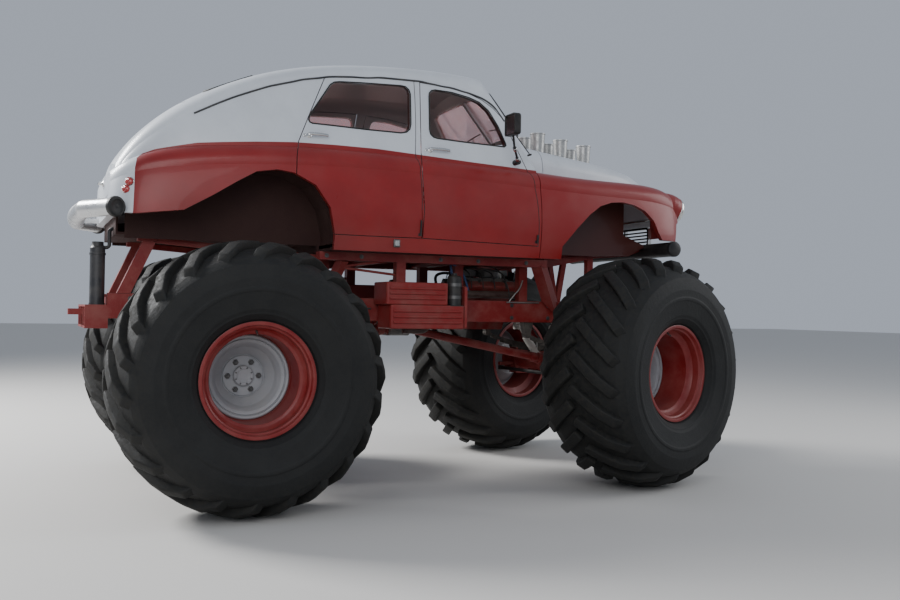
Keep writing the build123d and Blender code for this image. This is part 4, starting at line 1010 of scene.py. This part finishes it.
# Inside the cab: padded benches with sewn channels, dials and a gear lever
cabin = {
    "benches": (("front", -0.23, 0.26), ("rear", -0.84, -0.38)),
    "halfWidth": 0.56,
    "cushionLow": 1.715,
    "cushionHigh": 1.917,
    "backHigh": 2.415,
    "channels": 9,
}


def paddedForm(low, high, channels, crown, across):
    # a pillow block: every face bulges, with sewn channels along it
    pad, middle, size = openCube(low, high)
    bpy.ops.mesh.bevel(offset=0.045, segments=4, affect="EDGES")
    selectAll()
    bpy.ops.mesh.subdivide(number_cuts=5)
    leaveEdit()
    half = [s / 2 for s in size]
    pitch = size[1] / channels
    for vertex in pad.data.vertices:
        u = [(vertex.co[k] - middle[k]) / half[k] for k in range(3)]
        edge = (1 - u[1] ** 2) * (1 - u[across] ** 2)
        groove = abs(sin(pi * (vertex.co.y - low[1]) / pitch))
        thin = 2 - across
        rise = crown * edge - 0.01 * (1 - groove ** 0.35) * (1 - u[across] ** 8)
        rise *= 1 if u[thin] > 0 else -0.2
        flat = (vertex.co[thin] - middle[thin]) * (1 - crown / half[thin])
        vertex.co[thin] = middle[thin] + flat + rise
    smooth(pad, 60)
    return pad


def addInterior():
    spec = cabin
    for word, x0, x1 in spec["benches"]:
        cushion = paddedForm((x0 + carX + 0.006, -spec["halfWidth"], spec["cushionLow"]),
            (x1 + carX, spec["halfWidth"], spec["cushionHigh"]), spec["channels"], 0.016, 0)
        back = paddedForm((x0 - 0.02 + carX, -spec["halfWidth"], spec["cushionHigh"] - 0.04),
            (x0 + 0.12 + carX, spec["halfWidth"], spec["backHigh"]), spec["channels"], 0.014, 2)
        for piece, part in ((cushion, "Cushion"), (back, "Back")):
            dress(piece, "vinyl", f"{word}Bench{part}")
        base = block((x0 + carX + 0.05, -0.5, 1.6712), (x1 + carX - 0.05, 0.5, spec["cushionLow"] + 0.02),
            0.01)
        dress(base, "black", f"{word}BenchBase")
    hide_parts("seats")
    dials = []
    for y, radius in ((0.23, 0.03), (0.33, 0.052), (0.43, 0.03)):
        dial = turnedPiece(((0, -0.004), (radius, -0.004), (radius, 0.006), (radius * 0.92, 0.01),
            (radius * 0.86, 0.003), (0, 0.003)), steps=32, rounding=0.0012)
        moveBy(dial, turnTo(Vector((-1, 0, 0.06)), at(0.5445, y, 2.24)))
        dials.append(dial)
    panel = joinPieces(dials, "dials")
    dress(panel, "black", "dashDials", angle=40)
    lever = tube([at(0.42, 0.02, 1.668), at(0.4, 0.02, 1.86), at(0.34, 0.03, 2.05)], 0.009, smoothLine=True)
    knob = turnedPiece(((0, -0.024), (0.014, -0.022), (0.024, -0.004), (0.022, 0.014), (0.01, 0.024),
        (0, 0.025)), steps=20, rounding=0.002)
    shift(knob, at(0.337, 0.03, 2.062))
    gaiter = turnedPiece(((0, 0), (0.055, 0.0), (0.05, 0.012), (0.038, 0.018), (0.034, 0.032),
        (0.022, 0.04), (0.016, 0.062), (0, 0.064)), steps=24, rounding=0.003)
    shift(gaiter, at(0.42, 0.02, 1.6712))
    gear = joinPieces([lever, knob, gaiter], "gear")
    dress(gear, "plastic", "gearLever", angle=40)


# Running gear: U-bolts, cover bolts, lines and the loose parts about the engine
running = {
    "seatHalf": 0.043,
    "uBoltHalf": 0.06,
    "coverBolts": (0.139, 10),  # circle's radius, count
    "drumBolts": (0.07, 8),
    "drumY": 0.87,
    "railBolts": ((-2.1, -1.9, -1.45, -1.28, -0.95, -0.7, 0.3, 0.7, 1.02, 1.3, 1.55), (1.31, 1.215)),
    "railFace": 0.385,
    "sillBolts": (-0.85, -0.6, 0.0, 0.3, 0.7),
    "postBolts": (1.17, 1.4, 1.28),
    "bracketBolts": ((0.335, 0.2, 0.075), (1.158, 1.228)),
    "bank": (0.565, 0, 1.29),
    "bankBolts": (-0.155, -0.055, 0.055, 0.155),
    "leadXs": (0.415, 0.515, 0.615, 0.715),
    "flangeXs": (0.395, 0.505, 0.615, 0.725),
    "bandZs": (1.36, 1.45),
}


def addUBolts():
    spec = running
    pieces = []
    for axleX in (frontAxleX, rearAxleX):
        for side in (-1, 1):
            y, half = side * railY, spec["seatHalf"]
            for x in (axleX - spec["uBoltHalf"], axleX + spec["uBoltHalf"]):
                bow = ((-half, 0.985), (-half, 1.01), (0, 1.0125), (half, 1.01), (half, 0.985))
                pieces.append(tube([at(x, y + dy, z) for dy, z in bow], 0.008))
                for dy in (-half, half):
                    pieces.append(tube([at(x, y + dy, z) for z in (0.99, 0.872)], 0.008))
            for dy in (-half, half):
                low = at(axleX - 0.085, y + dy - 0.016, 0.895)
                high = at(axleX + 0.085, y + dy + 0.016, 0.909)
                pieces.append(block(low, high, 0.003))
    bolts = joinPieces(pieces, "uBolts")
    dress(bolts, "steel", "springUBolts", angle=40)


def circleOfBolts(centre, direction, radius, count):
    disc, outward = turnTo(direction, centre), Vector(direction).normalized()
    turns = [2 * pi * k / count for k in range(count)]
    return [(disc @ Vector((radius * cos(turn), radius * sin(turn), 0)), outward) for turn in turns]


def addBolts():
    spec = running
    chassis = circleOfBolts(at(frontAxleX + 0.002, 0, hubZ), (1, 0, 0), *spec["coverBolts"])
    chassis += circleOfBolts(at(rearAxleX - 0.002, 0, hubZ), (-1, 0, 0), *spec["coverBolts"])
    for side in (-1, 1):
        xs, zs = spec["railBolts"]
        chassis += [(at(x, spec["railFace"], z, side), (0, side, 0)) for x in xs for z in zs]
        chassis += [(at(x, 0.605, 1.628, side), (0, side, 0)) for x in spec["sillBolts"]]
        chassis += [(at(0.2, 0.6, z, side), (1, 0, 0)) for z in spec["postBolts"]]
        ys, zs = spec["bracketBolts"]
        chassis += [(at(-2.249, y, z, side), (-1, 0, 0)) for y in ys for z in zs]
        bank = Matrix.Translation(at(*spec["bank"])) @ Matrix.Rotation(radians(-45 * side), 4, "X")
        out = bank.to_3x3() @ Vector((0, 0, 1))
        chassis += [(bank @ Vector((x, 0, 0.2862)), out) for x in spec["bankBolts"]]
    boltRow("frameBolts", "chassis", chassis, finish["nut"], 0.011)
    for side, word in sides:
        drum = circleOfBolts(at(rearAxleX, spec["drumY"], hubZ, side), (0, side, 0), *spec["drumBolts"])
        boltRow(f"drumBolts_{word}", "chassis", drum, finish["nut"], 0.01)


# Hoses, rods and lines: points, radius, finish
lines = {
    "fuelLine": (((-2.05, -0.387, 1.26), (-1.4, -0.387, 1.24), (-0.8, -0.389, 1.26), (-0.45, -0.389, 1.27)),
        0.006, "hose"),
    "brakeLineRear": (((-1.3, 0.3, 1.19), (-1.32, 0.22, 1.05), (-1.46, 0.18, 0.97), (-1.472, 0.3, 0.917),
        (-1.472, 0.62, 0.917)), 0.006, "hose"),
    "brakeLineFront": (((1.23, 0.305, 1.2), (1.27, 0.24, 1.06), (1.36, 0.2, 0.97), (1.373, 0.31, 0.917),
        (1.373, 0.56, 0.917)), 0.006, "hose"),
    "blueHose": (((0.105, -0.575, 1.53), (0.118, -0.5, 1.6), (0.19, -0.4, 1.612), (0.29, -0.31, 1.585),
        (0.36, -0.27, 1.5), (0.385, -0.262, 1.415)), 0.009, "blueHose"),
    "heaterHose": (((0.3, 0.1, 1.42), (0.27, 0.16, 1.52), (0.36, 0.22, 1.575), (0.52, 0.215, 1.56),
        (0.64, 0.15, 1.5)), 0.012, "hose"),
    "brightRod": (((0.65, -0.3905, 1.334), (0.79, -0.3905, 1.332), (0.935, -0.3905, 1.334)), 0.006,
        "steel"),
    "brightLever": (((0.671, -0.3895, 1.334), (0.712, -0.394, 1.392), (0.768, -0.394, 1.44),
        (0.79, -0.386, 1.506)), 0.006, "steel"),
    "throttleCable": (((0.56, 0.05, 1.62), (0.6, -0.06, 1.63), (0.69, -0.18, 1.6), (0.72, -0.3, 1.45),
        (0.7, -0.35, 1.345)), 0.005, "hose"),
}


def addLines():
    for name, (points, radius, key) in lines.items():
        line = tube([at(*p) for p in points], radius, smoothLine=True)
        paint(line, finish[key])
        fit(line, name, "chassis")
    leads = []
    for side in (-1, 1):
        for k, x in enumerate(running["leadXs"]):
            points = ((0.385, 0.01, 1.575), (0.4, 0.07, 1.6 + 0.008 * k), (x, 0.175, 1.58),
                (x, 0.25, 1.515), (x + 0.01, 0.24, 1.44))
            leads.append(tube([at(*p, side) for p in points], 0.004, smoothLine=True))
    leadSet = joinPieces(leads, "leads")
    dress(leadSet, "hose", "sparkLeads")
    cap = turnedPiece(((0, 0), (0.036, 0.0), (0.036, 0.06), (0.046, 0.064), (0.046, 0.084), (0.04, 0.11),
        (0.022, 0.122), (0, 0.124)), steps=28, rounding=0.002)
    shift(cap, at(0.385, 0, 1.47))
    dress(cap, "black", "ignitionCap", angle=40)
    for side, word in sides:
        flanges = []
        for x in running["flangeXs"]:
            flange = block((-0.03, -0.006, -0.024), (0.03, 0.006, 0.024), 0.003)
            shift(flange, at(x, 0.232, 1.389, side))
            flanges.append(flange)
        row = joinPieces(flanges, "flanges")
        dress(row, "alloy", f"headerFlanges_{word}")
        band = turnedPiece(((0.0522, -0.012), (0.055, -0.012), (0.055, 0.012), (0.0522, 0.012)), steps=40,
            closed=True)
        pair = [band, copyOf(band, "band")]
        for ring, z in zip(pair, running["bandZs"]):
            shift(ring, at(0.112, 0.6, z, side))
        bands = joinPieces(pair, "bands")
        dress(bands, "nut", f"canisterBands_{word}", angle=40)


print("camera and studio")
addCamera()
addStudio()
print("finishes on the CAD nodes")
finishNodes()
print("wheels")
addWheels()
print("body trim")
addWindowSeals()
addDripRails()
addHandles()
addBootHandle()
addSmallLamps()
addScreenFittings()
print("cab")
addInterior()
print("running gear")
addUBolts()
addBolts()
addLines()
